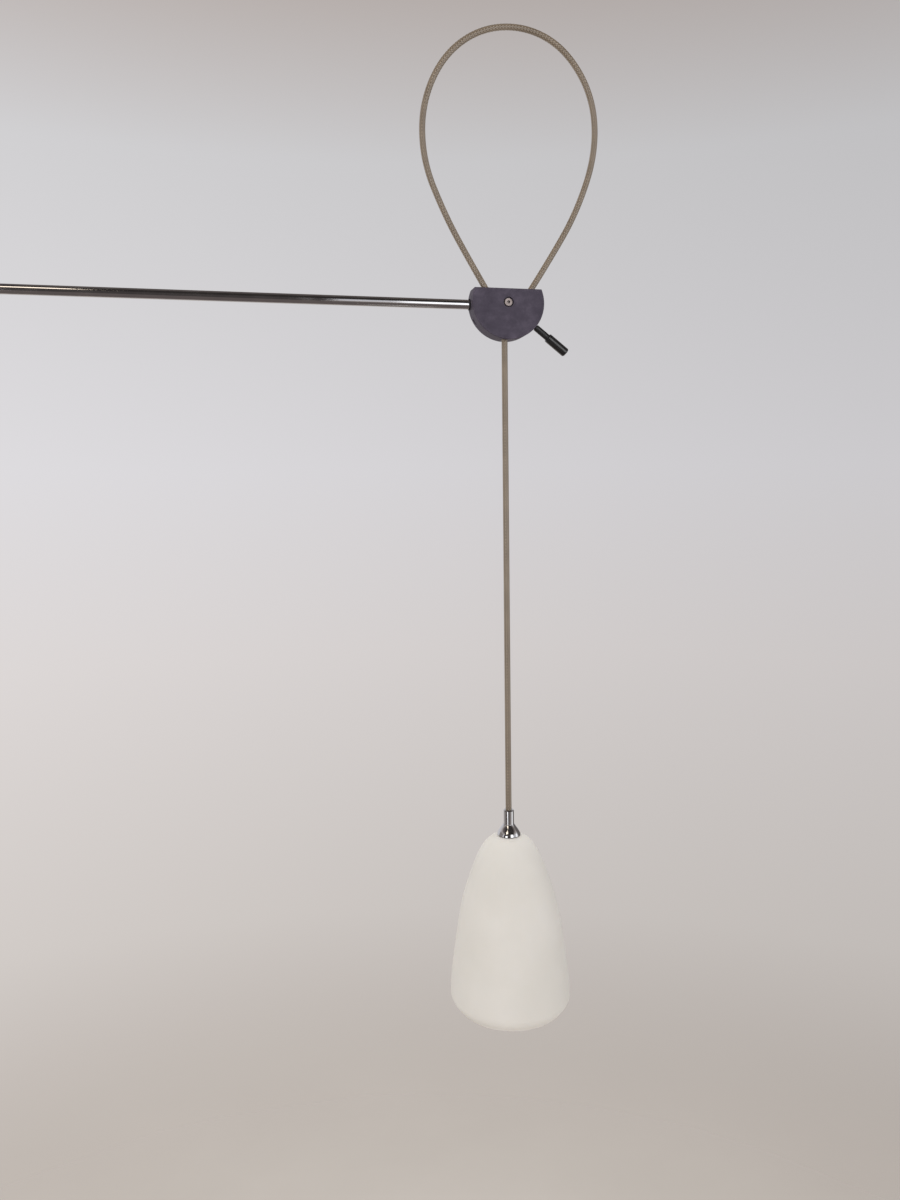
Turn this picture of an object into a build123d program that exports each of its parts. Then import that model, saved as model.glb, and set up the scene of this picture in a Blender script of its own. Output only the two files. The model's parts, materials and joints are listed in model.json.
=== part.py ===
from build123d import *

import os
from math import cos, hypot, pi, radians, sin, tan

os.makedirs("parts", exist_ok=True)

# Layout in millimetres: the ceiling is z = 0, the stem hangs on the Z axis, the arm points along +X
ARM_DROP = 400.0  # ceiling to the arm's axis
ARM_REACH = 600.0  # stem axis to the centre of the clamp head
DROP_LENGTH = 482.0  # clamp head to the cord grip
FIT = 0.05  # radial gap of turning and seated round fits
BOTTOM = (Align.CENTER, Align.CENTER, Align.MIN)
TOP = (Align.CENTER, Align.CENTER, Align.MAX)

# Cable and tubes
CABLE_R = 3.15
CABLE_GAP = 0.15  # between the cable and the walls of its channels
CORD_ROUNDING = 0.45  # share of a run that each of its two bends may take
ARM_R = 5.0
ARM_WALL = 1.0
STEM_R = 7.0
STEM_WALL = 1.25

# Ceiling plate, canopy and swivel
PLATE_R = 50.0
PLATE_T = 3.0
MOUNT_SPACING = 76.0
MOUNT_HOLE_R = 2.75
ENTRY_X = 32.0
ENTRY_R = 6.0
FLANGE_R = 23.0
FLANGE_T = 4.0
FLANGE_PCR = 18.5
BARREL_R = 14.0
CHAMBER_R = 11.5
CHAMBER_DEPTH = 31.0
BUSH_R = 10.0
BUSH_LENGTH = 10.0
BUSH_FLANGE_T = 1.5
BUSH_SPAN = 26.0  # ledge of the chamber to the barrel's lower end
WINDOW_W = 12.0
WINDOW_H = 9.0
WASHER_T = 1.0
COLLAR_R = 11.0
COLLAR_H = 8.0
STEM_STAND = 1.5  # stem end above its collar
STOP_PIN_R = 1.5
STOP_PIN_ORBIT = 9.3
STOP_PIN_H = 6.0
STOP_SCREW_GAP = 0.5  # screw tip to the stem
CANOPY_R = 55.0
CANOPY_WALL = 1.5
CANOPY_EDGE = 9.0
CANOPY_LIFT = 0.6  # gap under the ceiling
RING_R = 19.0
RING_H = 6.0
TERMINAL_X = -32.0
TERMINAL_L = 16.0
TERMINAL_W = 22.0
TERMINAL_H = 14.0
WIRE_R = 0.9
WIRE_PITCH = 3.2
WIRE_BEND = 7.0

# Small fasteners: shank and head radii
M3_R = 1.5
M4_R = 2.0
M4_HEAD_R = 3.5
M4_HEAD_H = 2.5
GRUB_LENGTH = 6.0
HEX_SOCKET = 1.15  # hexagon radius in a grub screw
SOCKET_DEPTH = 1.6

# Elbow block
ELBOW_R = 32.0
ELBOW_T = 22.0
ELBOW_EDGE = 0.8
ELBOW_BEND = 22.0  # cable bend radius
STEM_SOCKET = 16.0
ARM_SOCKET = 15.0
ELBOW_SCREWS = ((-17.0, -14.0), (7.0, -22.0), (-19.0, 9.0))

# Clamp head: a disc with a flat top, split into a front and a back shell
HEAD_R = 38.0
HEAD_FLAT = 14.1
HEAD_LIFT = 1.5  # disc centre above the arm's axis
HEAD_EDGE = 0.8
FRONT_WALL = 3.5
BACK_WALL = 1.5
SEPARATOR_T = 0.5
SEPARATOR_MARGIN = 3.0
HEAD_ARM_END = -27.0  # arm tube end, from the disc centre
HEAD_SCREWS = ((-22.0, -21.0), (10.0, 9.0))
HEAD_SCREW_DEPTH = 6.0
AXLE_R = 2.5
AXLE_HEAD_R = 4.2
AXLE_HEAD_H = 2.0
AXLE_HEX = 1.75
COUNTERBORE_R = 5.5
COUNTERBORE_DEPTH = 2.4
EXIT_U = -3.0  # cable exit under the disc, from its centre
BEND_LEVEL = -12.0  # corner of the arm's cable, under the axle
TUBE_LEAD = 3.0  # arm tube's end to the first corner of its cable
TUBE_BEND = 41.0
RIGHT_BEND = 29.5
LEFT_BEND = 46.0
CUT_PAST = 7.0  # how far the cable ways run past the outline
ANCHOR_BACK = 4.6  # anchor screw, down the cable from the right exit
SEAL_R = 5.8
SEAL_T = 1.0

# Cam and lever
CAM_OFFSET = 2.2
CAM_LAG = 20.0  # lobe behind the cable's normal at rest, degrees
CAM_GAP = 0.1
CAM_T = 5.8
LUG_R = 16.0
LUG_W = 8.0
LUG_ROOM = 0.6
WAVE_WASHER_T = 0.35
WAVE_WASHER_R = 4.4
LEVER_ANGLE = -38.5
LEVER_THROW = 35.0
LEVER_NECK_R = 2.45  # inside the head
LEVER_ROD_R = 3.4  # outside it
LEVER_ROD_GAP = 1.2  # rim to rod
LEVER_ROOT = 8.5
GRIP_START = 55.0
GRIP_END = 80.3
GRIP_OVERLAP = 8.0  # neck inside the grip
LEVER_GRIP_R = 4.8
LEVER_GRIP_EDGE = 0.9
LEVER_RING = 0.5

# Pendant fittings, measured from the top face of the shade
CORD_GRIP_R = 5.5
CORD_GRIP_H = 14.5
SPIGOT_R = 4.0
SPIGOT_H = 8.0
DOME_TOP_R = 6.0
DOME_BASE_R = 12.0
DOME_H = 10.4
DOME_WALL = 1.4
DOME_LIP = 1.0  # upright part of the dome's inner wall
DOME_FLARE, DOME_RISE = 1.5, 3.0  # the curve's first handle, out and down from the top edge
DOME_TUCK, DOME_ROUND = 0.4, 3.8  # its second handle, in and up from the base edge
GASKET_T = 0.8
GASKET_R = 11.0
NIPPLE_R = 5.0
NIPPLE_BELOW = 8.0
NUT_R = 9.0
NUT_H = 4.0
HOLDER_R = 14.0
HOLDER_WALL = 2.0
HOLDER_CAP_H = 16.0
HOLDER_BODY_H = 30.0
INSERT_T = 6.0
INSERT_DROP = 3.0
SHELL_R = 7.6
SHELL_WALL = 0.4
SHELL_H = 17.0
CONTACT_R = 2.2
CONTACT_H = 1.6
BULB_BASE_R = 6.9
BULB_BASE_H = 21.0
BULB_R = 22.5
BULB_LENGTH = 52.0  # glass below the base
BULB_NECK_R = 7.6
BULB_WALL = 1.0
TAIL_BELOW = 13.0

# Shade: stations of the outer wall as radius, height above the rim, lean from vertical in degrees
SHADE_H = 170.5
SHADE_WALL = 4.0
SHADE_TOP_T = 4.5
SHADE_NECK_R = 12.0
SHADE_FLAT_R = 13.0
MOUTH_R = 54.0
MOUTH_SLOPE = 58.0
BELLY_R = 60.8
BELLY_H = 11.8
WALL_STATIONS = ((57.4, 49.0, 6.0), (49.2, 100.6, 13.0), (36.4, 140.6, 31.0))


def polar(radius, angle):
    return radius * cos(radians(angle)), radius * sin(radians(angle))


# Depth of the layers in the clamp head: the arm's cable lies on y = 0, the clamped cable in front of it
channel_r = CABLE_R + CABLE_GAP
back_y = ARM_R + FIT + BACK_WALL
split_y = -channel_r - SEPARATOR_T
front_y = split_y - channel_r
floor_y = front_y - channel_r
face_y = floor_y - FRONT_WALL
head_z = -ARM_DROP + HEAD_LIFT


def head_layer(y):
    return Plane(origin=(ARM_REACH, y, head_z), x_dir=(1, 0, 0), z_dir=(0, -1, 0))


def head_point(u, y, w):
    return Vector(ARM_REACH + u, y, head_z + w)


# Route of the free loop, from the right exit over the top to the left exit, from the disc centre
LOOP = (
    (26.5, 0.0, HEAD_FLAT),
    (46.0, 0.0, 44.0),
    (75.0, -11.0, 96.0),
    (92.0, -23.0, 155.0),
    (85.0, -34.0, 208.0),
    (53.0, -42.0, 250.0),
    (11.0, -45.0, 267.0),
    (-35.0, -45.0, 261.0),
    (-72.0, -40.0, 233.0),
    (-92.0, -31.0, 187.0),
    (-89.0, -21.0, 135.0),
    (-66.0, -12.0, 87.0),
    (-44.0, front_y, 50.0),
    (-22.6, front_y, HEAD_FLAT),
)


def cord_radii(points):
    """Largest even radius at each corner of a route."""
    radii = []
    for before, corner, after in zip(points, points[1:], points[2:]):
        first = Vector(corner) - Vector(before)
        second = Vector(after) - Vector(corner)
        half_turn = radians(first.get_angle(second)) / 2
        radii.append(CORD_ROUNDING * min(first.length, second.length) / tan(half_turn))
    return radii


def report_cord(name, part, path, radii):
    length = sum(edge.length for edge in path.edges())
    ratio = part.volume / (pi * CABLE_R**2 * length)
    print(name, "radii", [round(r, 1) for r in radii])
    print(name, "length", round(length, 1), "volume over section times length", round(ratio, 4))


# Lines of the two cables through the head, as u, w from the disc centre
right_exit = Vector(LOOP[0][0], LOOP[0][2])
right_way = (Vector(LOOP[1][0], LOOP[1][2]) - right_exit).normalized()
left_exit = Vector(LOOP[-1][0], LOOP[-1][2])
left_way = (left_exit - Vector(LOOP[-2][0], LOOP[-2][2])).normalized()
right_corner = right_exit + right_way * ((BEND_LEVEL - right_exit.Y) / right_way.Y)
tube_corner = Vector(HEAD_ARM_END + TUBE_LEAD, -HEAD_LIFT)
left_corner = left_exit + left_way * ((EXIT_U - left_exit.X) / left_way.X)
arm_turns = (TUBE_BEND, RIGHT_BEND)

# The cam stands square to the clamped cable
clamp_distance = abs(left_exit.X * left_way.Y - left_exit.Y * left_way.X)
clamp_angle = Vector(1, 0).get_signed_angle(Vector(left_way.Y, -left_way.X), Vector(0, 0, 1))
lobe_angle = clamp_angle - CAM_LAG
cam_r = clamp_distance - CABLE_R - CAM_GAP - CAM_OFFSET * cos(radians(CAM_LAG))
cam_reach = cam_r + CAM_OFFSET + LUG_ROOM

# Levels of the swivel
ledge_z = -PLATE_T - CHAMBER_DEPTH
barrel_z = ledge_z - BUSH_SPAN
washer_z = ledge_z + BUSH_FLANGE_T
collar_z = washer_z + WASHER_T
stem_top = collar_z + COLLAR_H + STEM_STAND
stop_z = collar_z + COLLAR_H + STOP_PIN_H / 2
wire_z = -PLATE_T - FLANGE_T - WINDOW_H / 2
canopy_z = barrel_z + RING_H

# Levels of the pendant
pendant_x = ARM_REACH + EXIT_U
head_bottom = head_z - HEAD_R
grip_top = head_bottom - DROP_LENGTH
dome_top = grip_top - CORD_GRIP_H
shade_top = dome_top - DOME_H - GASKET_T
under_z = -SHADE_TOP_T - GASKET_T
holder_z = under_z - NUT_H
insert_z = holder_z - HOLDER_CAP_H - INSERT_DROP
shell_z = insert_z - INSERT_T
base_z = shell_z - CONTACT_H
pendant_side = Plane(origin=(pendant_x, front_y, shade_top), x_dir=(1, 0, 0), z_dir=(0, -1, 0))
pendant_axis = Axis((pendant_x, front_y, shade_top), (0, 0, 1))


def on_pendant(z):
    return Location((pendant_x, front_y, shade_top + z))


# Ceiling plate: steel disc with two mounting holes and a hole for the supply cable
with BuildPart() as ceiling_plate:
    Cylinder(PLATE_R, PLATE_T, align=TOP)
    with GridLocations(0, MOUNT_SPACING, 1, 2):
        Hole(MOUNT_HOLE_R)
    with Locations((ENTRY_X, 0)):
        Hole(ENTRY_R)
    with PolarLocations(FLANGE_PCR, 3, start_angle=90):
        Hole(M4_R + FIT)
ceiling_plate.part.label = "ceiling_plate"
export_step(ceiling_plate.part, "parts/ceiling_plate.step")

# Swivel housing: flanged barrel with a chamber for the collar and a window for the wires
with BuildPart() as swivel_housing:
    with Locations((0, 0, -PLATE_T)):
        Cylinder(FLANGE_R, FLANGE_T, align=TOP)
        Cylinder(BARREL_R, -PLATE_T - barrel_z, align=TOP)
        Cylinder(CHAMBER_R, CHAMBER_DEPTH, align=TOP, mode=Mode.SUBTRACT)
    with Locations((0, 0, barrel_z)):
        Cylinder(BUSH_R + FIT, BUSH_SPAN, align=BOTTOM, mode=Mode.SUBTRACT)
    with Locations((0, 0, -PLATE_T)):
        with PolarLocations(FLANGE_PCR, 3, start_angle=90):
            Cylinder(M4_R + FIT, FLANGE_T, align=TOP, mode=Mode.SUBTRACT)
    with Locations((-CHAMBER_R, 0, wire_z)):
        Box(BARREL_R, WINDOW_W, WINDOW_H, mode=Mode.SUBTRACT)
    with Locations((BARREL_R, 0, stop_z)):
        Cylinder(M4_R + FIT, BARREL_R, rotation=(0, 90, 0), mode=Mode.SUBTRACT)
swivel_housing.part.label = "swivel_housing"
export_step(swivel_housing.part, "parts/swivel_housing.step")

# Three screws that hold the housing's flange to the plate
with BuildPart() as housing_screws:
    with PolarLocations(FLANGE_PCR, 3, start_angle=90):
        with Locations((0, 0, -PLATE_T - FLANGE_T)):
            Cylinder(M4_R, PLATE_T + FLANGE_T, align=BOTTOM)
            Cylinder(M4_HEAD_R, M4_HEAD_H, align=TOP)
        with Locations((0, 0, -PLATE_T - FLANGE_T - M4_HEAD_H)):
            with BuildSketch():
                RegularPolygon(HEX_SOCKET + FIT, 6)
    extrude(amount=SOCKET_DEPTH, mode=Mode.SUBTRACT)
housing_screws.part.label = "housing_screws"
export_step(housing_screws.part, "parts/housing_screws.step")

# Flanged plain bushes that the stem turns in
with BuildPart() as upper_bush:
    with Locations((0, 0, ledge_z)):
        Cylinder(BUSH_R, BUSH_LENGTH, align=TOP)
        Cylinder(CHAMBER_R - FIT, BUSH_FLANGE_T, align=BOTTOM)
        Hole(STEM_R + FIT)
upper_bush.part.label = "upper_bush"
export_step(upper_bush.part, "parts/upper_bush.step")

with BuildPart() as lower_bush:
    with Locations((0, 0, barrel_z)):
        Cylinder(BUSH_R, BUSH_LENGTH, align=BOTTOM)
        Cylinder(BARREL_R - BUSH_FLANGE_T, BUSH_FLANGE_T, align=TOP)
        Hole(STEM_R + FIT)
lower_bush.part.label = "lower_bush"
export_step(lower_bush.part, "parts/lower_bush.step")

# Thrust washer that carries the collar
with BuildPart() as thrust_washer:
    with Locations((0, 0, washer_z)):
        Cylinder(COLLAR_R, WASHER_T, align=BOTTOM)
        Hole(STEM_R + FIT)
thrust_washer.part.label = "thrust_washer"
export_step(thrust_washer.part, "parts/thrust_washer.step")

# Collar on the stem's end, pinned by a grub screw, with an upright stop pin
with BuildPart() as stem_collar:
    with Locations((0, 0, collar_z)):
        Cylinder(COLLAR_R, COLLAR_H, align=BOTTOM)
        Hole(STEM_R + FIT)
    with Locations((-STOP_PIN_ORBIT, 0, collar_z + COLLAR_H)):
        Cylinder(STOP_PIN_R + FIT, COLLAR_H / 2, align=TOP, mode=Mode.SUBTRACT)
    with Locations((0, COLLAR_R, collar_z + COLLAR_H / 2)):
        Cylinder(M4_R + FIT, 2 * (COLLAR_R - STEM_R), rotation=(90, 0, 0), mode=Mode.SUBTRACT)
stem_collar.part.label = "stem_collar"
export_step(stem_collar.part, "parts/stem_collar.step")

with BuildPart() as collar_screw:
    with BuildSketch(Plane(origin=(0, STEM_R, collar_z + COLLAR_H / 2), z_dir=(0, 1, 0))):
        Circle(M4_R)
    extrude(amount=COLLAR_R - STEM_R - FIT)
    with BuildSketch(collar_screw.faces().sort_by(Axis.Y)[-1]):
        RegularPolygon(HEX_SOCKET, 6)
    extrude(amount=-SOCKET_DEPTH, mode=Mode.SUBTRACT)
collar_screw.part.label = "collar_screw"
export_step(collar_screw.part, "parts/collar_screw.step")

with BuildPart() as stop_pin:
    with Locations((-STOP_PIN_ORBIT, 0, collar_z + COLLAR_H / 2)):
        Cylinder(STOP_PIN_R, COLLAR_H / 2 + STOP_PIN_H, align=BOTTOM)
stop_pin.part.label = "stop_pin"
export_step(stop_pin.part, "parts/stop_pin.step")

# Screw through the barrel that the stop pin meets at either end of the swing
with BuildPart() as stop_screw:
    with BuildSketch(Plane(origin=(STEM_R + STOP_SCREW_GAP, 0, stop_z), z_dir=(1, 0, 0))):
        Circle(M4_R)
    extrude(amount=BARREL_R - STEM_R - STOP_SCREW_GAP)
    with BuildSketch(Plane(origin=(BARREL_R, 0, stop_z), z_dir=(1, 0, 0))):
        Circle(M4_HEAD_R)
    extrude(amount=M4_HEAD_H)
stop_screw.part.label = "stop_screw"
export_step(stop_screw.part, "parts/stop_screw.step")

# Canopy: deep drawn cup that a ring nut holds up against the ceiling
with BuildPart() as canopy:
    with Locations((0, 0, canopy_z)):
        Cylinder(CANOPY_R, -CANOPY_LIFT - canopy_z, align=BOTTOM)
    fillet(canopy.edges().sort_by(Axis.Z)[0], CANOPY_EDGE)
    offset(amount=-CANOPY_WALL, openings=canopy.faces().sort_by(Axis.Z)[-1])
    with Locations((0, 0, canopy_z)):
        Hole(BARREL_R + FIT)
canopy.part.label = "canopy"
export_step(canopy.part, "parts/canopy.step")

with BuildPart() as canopy_ring:
    with Locations((0, 0, barrel_z)):
        Cylinder(RING_R, RING_H, align=BOTTOM)
        Cylinder(BARREL_R + FIT, RING_H, align=BOTTOM, mode=Mode.SUBTRACT)
    chamfer(canopy_ring.edges().filter_by(GeomType.CIRCLE).group_by(SortBy.RADIUS)[-1], HEAD_EDGE)
canopy_ring.part.label = "canopy_ring"
export_step(canopy_ring.part, "parts/canopy_ring.step")

# Terminal block for the supply, and the two wires from it to the end of the cable
with BuildPart() as terminal_block:
    with Locations((TERMINAL_X, 0, -PLATE_T)):
        Box(TERMINAL_L, TERMINAL_W, TERMINAL_H, align=TOP)
    fillet(terminal_block.edges().filter_by(Axis.Z), HEAD_EDGE)
    with Locations((TERMINAL_X, 0, wire_z)):
        with GridLocations(0, WIRE_PITCH, 1, 2):
            Cylinder(WIRE_R + FIT, 2 * TERMINAL_L, rotation=(0, 90, 0), mode=Mode.SUBTRACT)
terminal_block.part.label = "terminal_block"
export_step(terminal_block.part, "parts/terminal_block.step")

with BuildPart() as terminal_screws:
    with Locations((TERMINAL_X, 0, -PLATE_T - TERMINAL_H)):
        with GridLocations(TERMINAL_L / 2, 2 * TERMINAL_W / 3, 2, 2):
            Cylinder(M3_R, SOCKET_DEPTH, align=TOP)
terminal_screws.part.label = "terminal_screws"
export_step(terminal_screws.part, "parts/terminal_screws.step")

with BuildPart() as supply_wires:
    for side in (-WIRE_PITCH / 2, WIRE_PITCH / 2):
        with BuildLine():
            FilletPolyline(
                (TERMINAL_X, side, wire_z),
                (0, side, wire_z),
                (0, side, stem_top),
                radius=WIRE_BEND,
            )
        with BuildSketch(Plane(origin=(TERMINAL_X, side, wire_z), z_dir=(1, 0, 0))):
            Circle(WIRE_R)
        sweep()
supply_wires.part.label = "supply_wires"
export_step(supply_wires.part, "parts/supply_wires.step")

# Stem: steel tube from the collar down into the elbow
stem_end = -ARM_DROP + ELBOW_R - STEM_SOCKET
with BuildPart() as stem_tube:
    with Locations((0, 0, stem_end)):
        Cylinder(STEM_R, stem_top - stem_end, align=BOTTOM)
        Hole(STEM_R - STEM_WALL)
stem_tube.part.label = "stem_tube"
export_step(stem_tube.part, "parts/stem_tube.step")

# Elbow: a disc in two shells, with sockets for the stem and the arm and a curved way for the cable
elbow_plane = Plane(origin=(0, 0, -ARM_DROP), x_dir=(1, 0, 0), z_dir=(0, -1, 0))
arm_start = ELBOW_R - ARM_SOCKET
bend_top = -ARM_DROP + ELBOW_BEND
stem_screw_z = -ARM_DROP + ELBOW_R - STEM_SOCKET / 2
arm_screw_x = ELBOW_R - ARM_SOCKET / 2
with BuildPart() as elbow_room:
    with Locations((0, 0, stem_end)):
        Cylinder(STEM_R + FIT, 2 * STEM_SOCKET, align=BOTTOM)
    with Locations((arm_start, 0, -ARM_DROP)):
        Cylinder(ARM_R + FIT, 2 * ARM_SOCKET, rotation=(0, 90, 0), align=BOTTOM)
    with BuildLine():
        FilletPolyline(
            (0, 0, bend_top + FIT),
            (0, 0, -ARM_DROP),
            (ELBOW_BEND + FIT, 0, -ARM_DROP),
            radius=ELBOW_BEND,
        )
    with BuildSketch(Plane(origin=(0, 0, bend_top + FIT), z_dir=(0, 0, -1))):
        Circle(ARM_R - ARM_WALL)
    sweep()
    with Locations((-ELBOW_R, 0, stem_screw_z)):
        Cylinder(M4_R + FIT, ELBOW_R, rotation=(0, 90, 0), align=BOTTOM)
    with Locations((arm_screw_x, 0, -ARM_DROP - ELBOW_R)):
        Cylinder(M4_R + FIT, ELBOW_R, align=BOTTOM)

with BuildPart() as elbow_back:
    with BuildSketch(elbow_plane):
        Circle(ELBOW_R)
    extrude(amount=-ELBOW_T / 2)
    chamfer(elbow_back.faces().sort_by(Axis.Y)[-1].edges(), ELBOW_EDGE)
    add(elbow_room.part, mode=Mode.SUBTRACT)
    with BuildSketch(elbow_plane):
        with Locations(*ELBOW_SCREWS):
            Circle(M4_R + FIT)
    extrude(amount=-ELBOW_T / 2, mode=Mode.SUBTRACT)
    with BuildSketch(elbow_plane.offset(-ELBOW_T / 2)):
        with Locations(*ELBOW_SCREWS):
            Circle(M4_HEAD_R + FIT)
    extrude(amount=M4_HEAD_H, mode=Mode.SUBTRACT)
elbow_back.part.label = "elbow_back"
export_step(elbow_back.part, "parts/elbow_back.step")

with BuildPart() as elbow_front:
    with BuildSketch(elbow_plane):
        Circle(ELBOW_R)
    extrude(amount=ELBOW_T / 2)
    chamfer(elbow_front.faces().sort_by(Axis.Y)[0].edges(), ELBOW_EDGE)
    add(elbow_room.part, mode=Mode.SUBTRACT)
    with BuildSketch(elbow_plane):
        with Locations(*ELBOW_SCREWS):
            Circle(M4_R + FIT)
    extrude(amount=GRUB_LENGTH, mode=Mode.SUBTRACT)
elbow_front.part.label = "elbow_front"
export_step(elbow_front.part, "parts/elbow_front.step")

# Screws that draw the elbow's shells together from the back
with BuildPart() as elbow_screws:
    with BuildSketch(elbow_plane.offset(GRUB_LENGTH)):
        with Locations(*ELBOW_SCREWS):
            Circle(M4_R)
    extrude(amount=-GRUB_LENGTH - ELBOW_T / 2)
    with BuildSketch(elbow_plane.offset(M4_HEAD_H - ELBOW_T / 2)):
        with Locations(*ELBOW_SCREWS):
            Circle(M4_HEAD_R)
    extrude(amount=-M4_HEAD_H)
    with BuildSketch(elbow_plane.offset(-ELBOW_T / 2)):
        with Locations(*ELBOW_SCREWS):
            RegularPolygon(HEX_SOCKET, 6)
    extrude(amount=SOCKET_DEPTH, mode=Mode.SUBTRACT)
elbow_screws.part.label = "elbow_screws"
export_step(elbow_screws.part, "parts/elbow_screws.step")

# Grub screws that pinch the stem and the arm in the elbow
with BuildPart() as elbow_set_screws:
    with BuildSketch(Plane(origin=(-STEM_R, 0, stem_screw_z), z_dir=(-1, 0, 0))):
        Circle(M4_R)
    with BuildSketch(Plane(origin=(arm_screw_x, 0, -ARM_DROP - ARM_R), z_dir=(0, 0, -1))):
        Circle(M4_R)
    extrude(amount=GRUB_LENGTH)
    with BuildSketch(Plane(origin=(-STEM_R - GRUB_LENGTH, 0, stem_screw_z), z_dir=(-1, 0, 0))):
        RegularPolygon(HEX_SOCKET, 6)
    with BuildSketch(Plane(origin=(arm_screw_x, 0, -ARM_DROP - ARM_R - GRUB_LENGTH), z_dir=(0, 0, -1))):
        RegularPolygon(HEX_SOCKET, 6)
    extrude(amount=-SOCKET_DEPTH, mode=Mode.SUBTRACT)
elbow_set_screws.part.label = "elbow_set_screws"
export_step(elbow_set_screws.part, "parts/elbow_set_screws.step")

# Arm: level tube from the elbow into the clamp head
arm_length = ARM_REACH + HEAD_ARM_END - arm_start
with BuildPart() as arm_tube:
    with BuildSketch(Plane(origin=(arm_start, 0, -ARM_DROP), z_dir=(1, 0, 0))):
        Circle(ARM_R)
        Circle(ARM_R - ARM_WALL, mode=Mode.SUBTRACT)
    extrude(amount=arm_length)
arm_tube.part.label = "arm_tube"
export_step(arm_tube.part, "parts/arm_tube.step")

# Outline of the clamp head, and the rooms that both shells share
with BuildSketch() as head_outline:
    Circle(HEAD_R)
    with Locations((0, HEAD_FLAT)):
        Rectangle(2 * HEAD_R, HEAD_R, align=(Align.CENTER, Align.MIN), mode=Mode.SUBTRACT)

set_screw_u = (HEAD_ARM_END - HEAD_R) / 2
anchor = right_exit - right_way * ANCHOR_BACK
arm_line = (
    tube_corner - Vector(2 * CUT_PAST, 0),
    tube_corner,
    right_corner,
    right_exit + right_way * CUT_PAST,
)
clamp_line = (left_exit - left_way * CUT_PAST, left_corner, Vector(EXIT_U, -HEAD_R - CUT_PAST))

with BuildPart() as head_back:
    with BuildSketch(head_layer(split_y)):
        add(head_outline.sketch)
    extrude(amount=split_y - back_y)
    chamfer(head_back.faces().sort_by(Axis.Y)[-1].edges(), HEAD_EDGE)
    with BuildSketch(head_layer(split_y)):
        add(head_outline.sketch)
        offset(amount=-SEPARATOR_MARGIN)
    extrude(amount=-SEPARATOR_T, mode=Mode.SUBTRACT)
    with BuildLine() as arm_way:
        FilletPolyline([head_point(p.X, 0, p.Y) for p in arm_line], radius=arm_turns)
    with BuildSketch(Plane(origin=arm_way.line @ 0, z_dir=arm_way.line % 0)):
        Circle(channel_r)
    sweep(mode=Mode.SUBTRACT)
    with BuildSketch(head_layer(0)):
        with BuildLine():
            FilletPolyline(arm_line, radius=arm_turns)
        trace(line_width=2 * channel_r)
    extrude(amount=-split_y, mode=Mode.SUBTRACT)
    with BuildSketch(Plane(origin=head_point(HEAD_ARM_END, 0, -HEAD_LIFT), z_dir=(-1, 0, 0))):
        Circle(ARM_R + FIT)
    extrude(amount=HEAD_R, mode=Mode.SUBTRACT)
    with BuildSketch(Plane(origin=head_point(set_screw_u, 0, -HEAD_LIFT), z_dir=(0, 0, -1))):
        Circle(M4_R + FIT)
    extrude(amount=HEAD_R, mode=Mode.SUBTRACT)
    with BuildSketch(head_layer(0)):
        Circle(M4_R + FIT)
        with Locations(anchor):
            Circle(M4_R + FIT)
    extrude(amount=-back_y, mode=Mode.SUBTRACT)
    with BuildSketch(head_layer(split_y)):
        Circle(M4_R + FIT)
        with Locations(*HEAD_SCREWS):
            Circle(M3_R + FIT)
    extrude(amount=split_y - back_y, mode=Mode.SUBTRACT)
    with BuildSketch(head_layer(back_y)):
        with Locations(*HEAD_SCREWS):
            Circle(2 * M3_R + FIT)
    extrude(amount=M3_R, taper=45, mode=Mode.SUBTRACT)
head_back.part.label = "head_back"
export_step(head_back.part, "parts/head_back.step")

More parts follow.
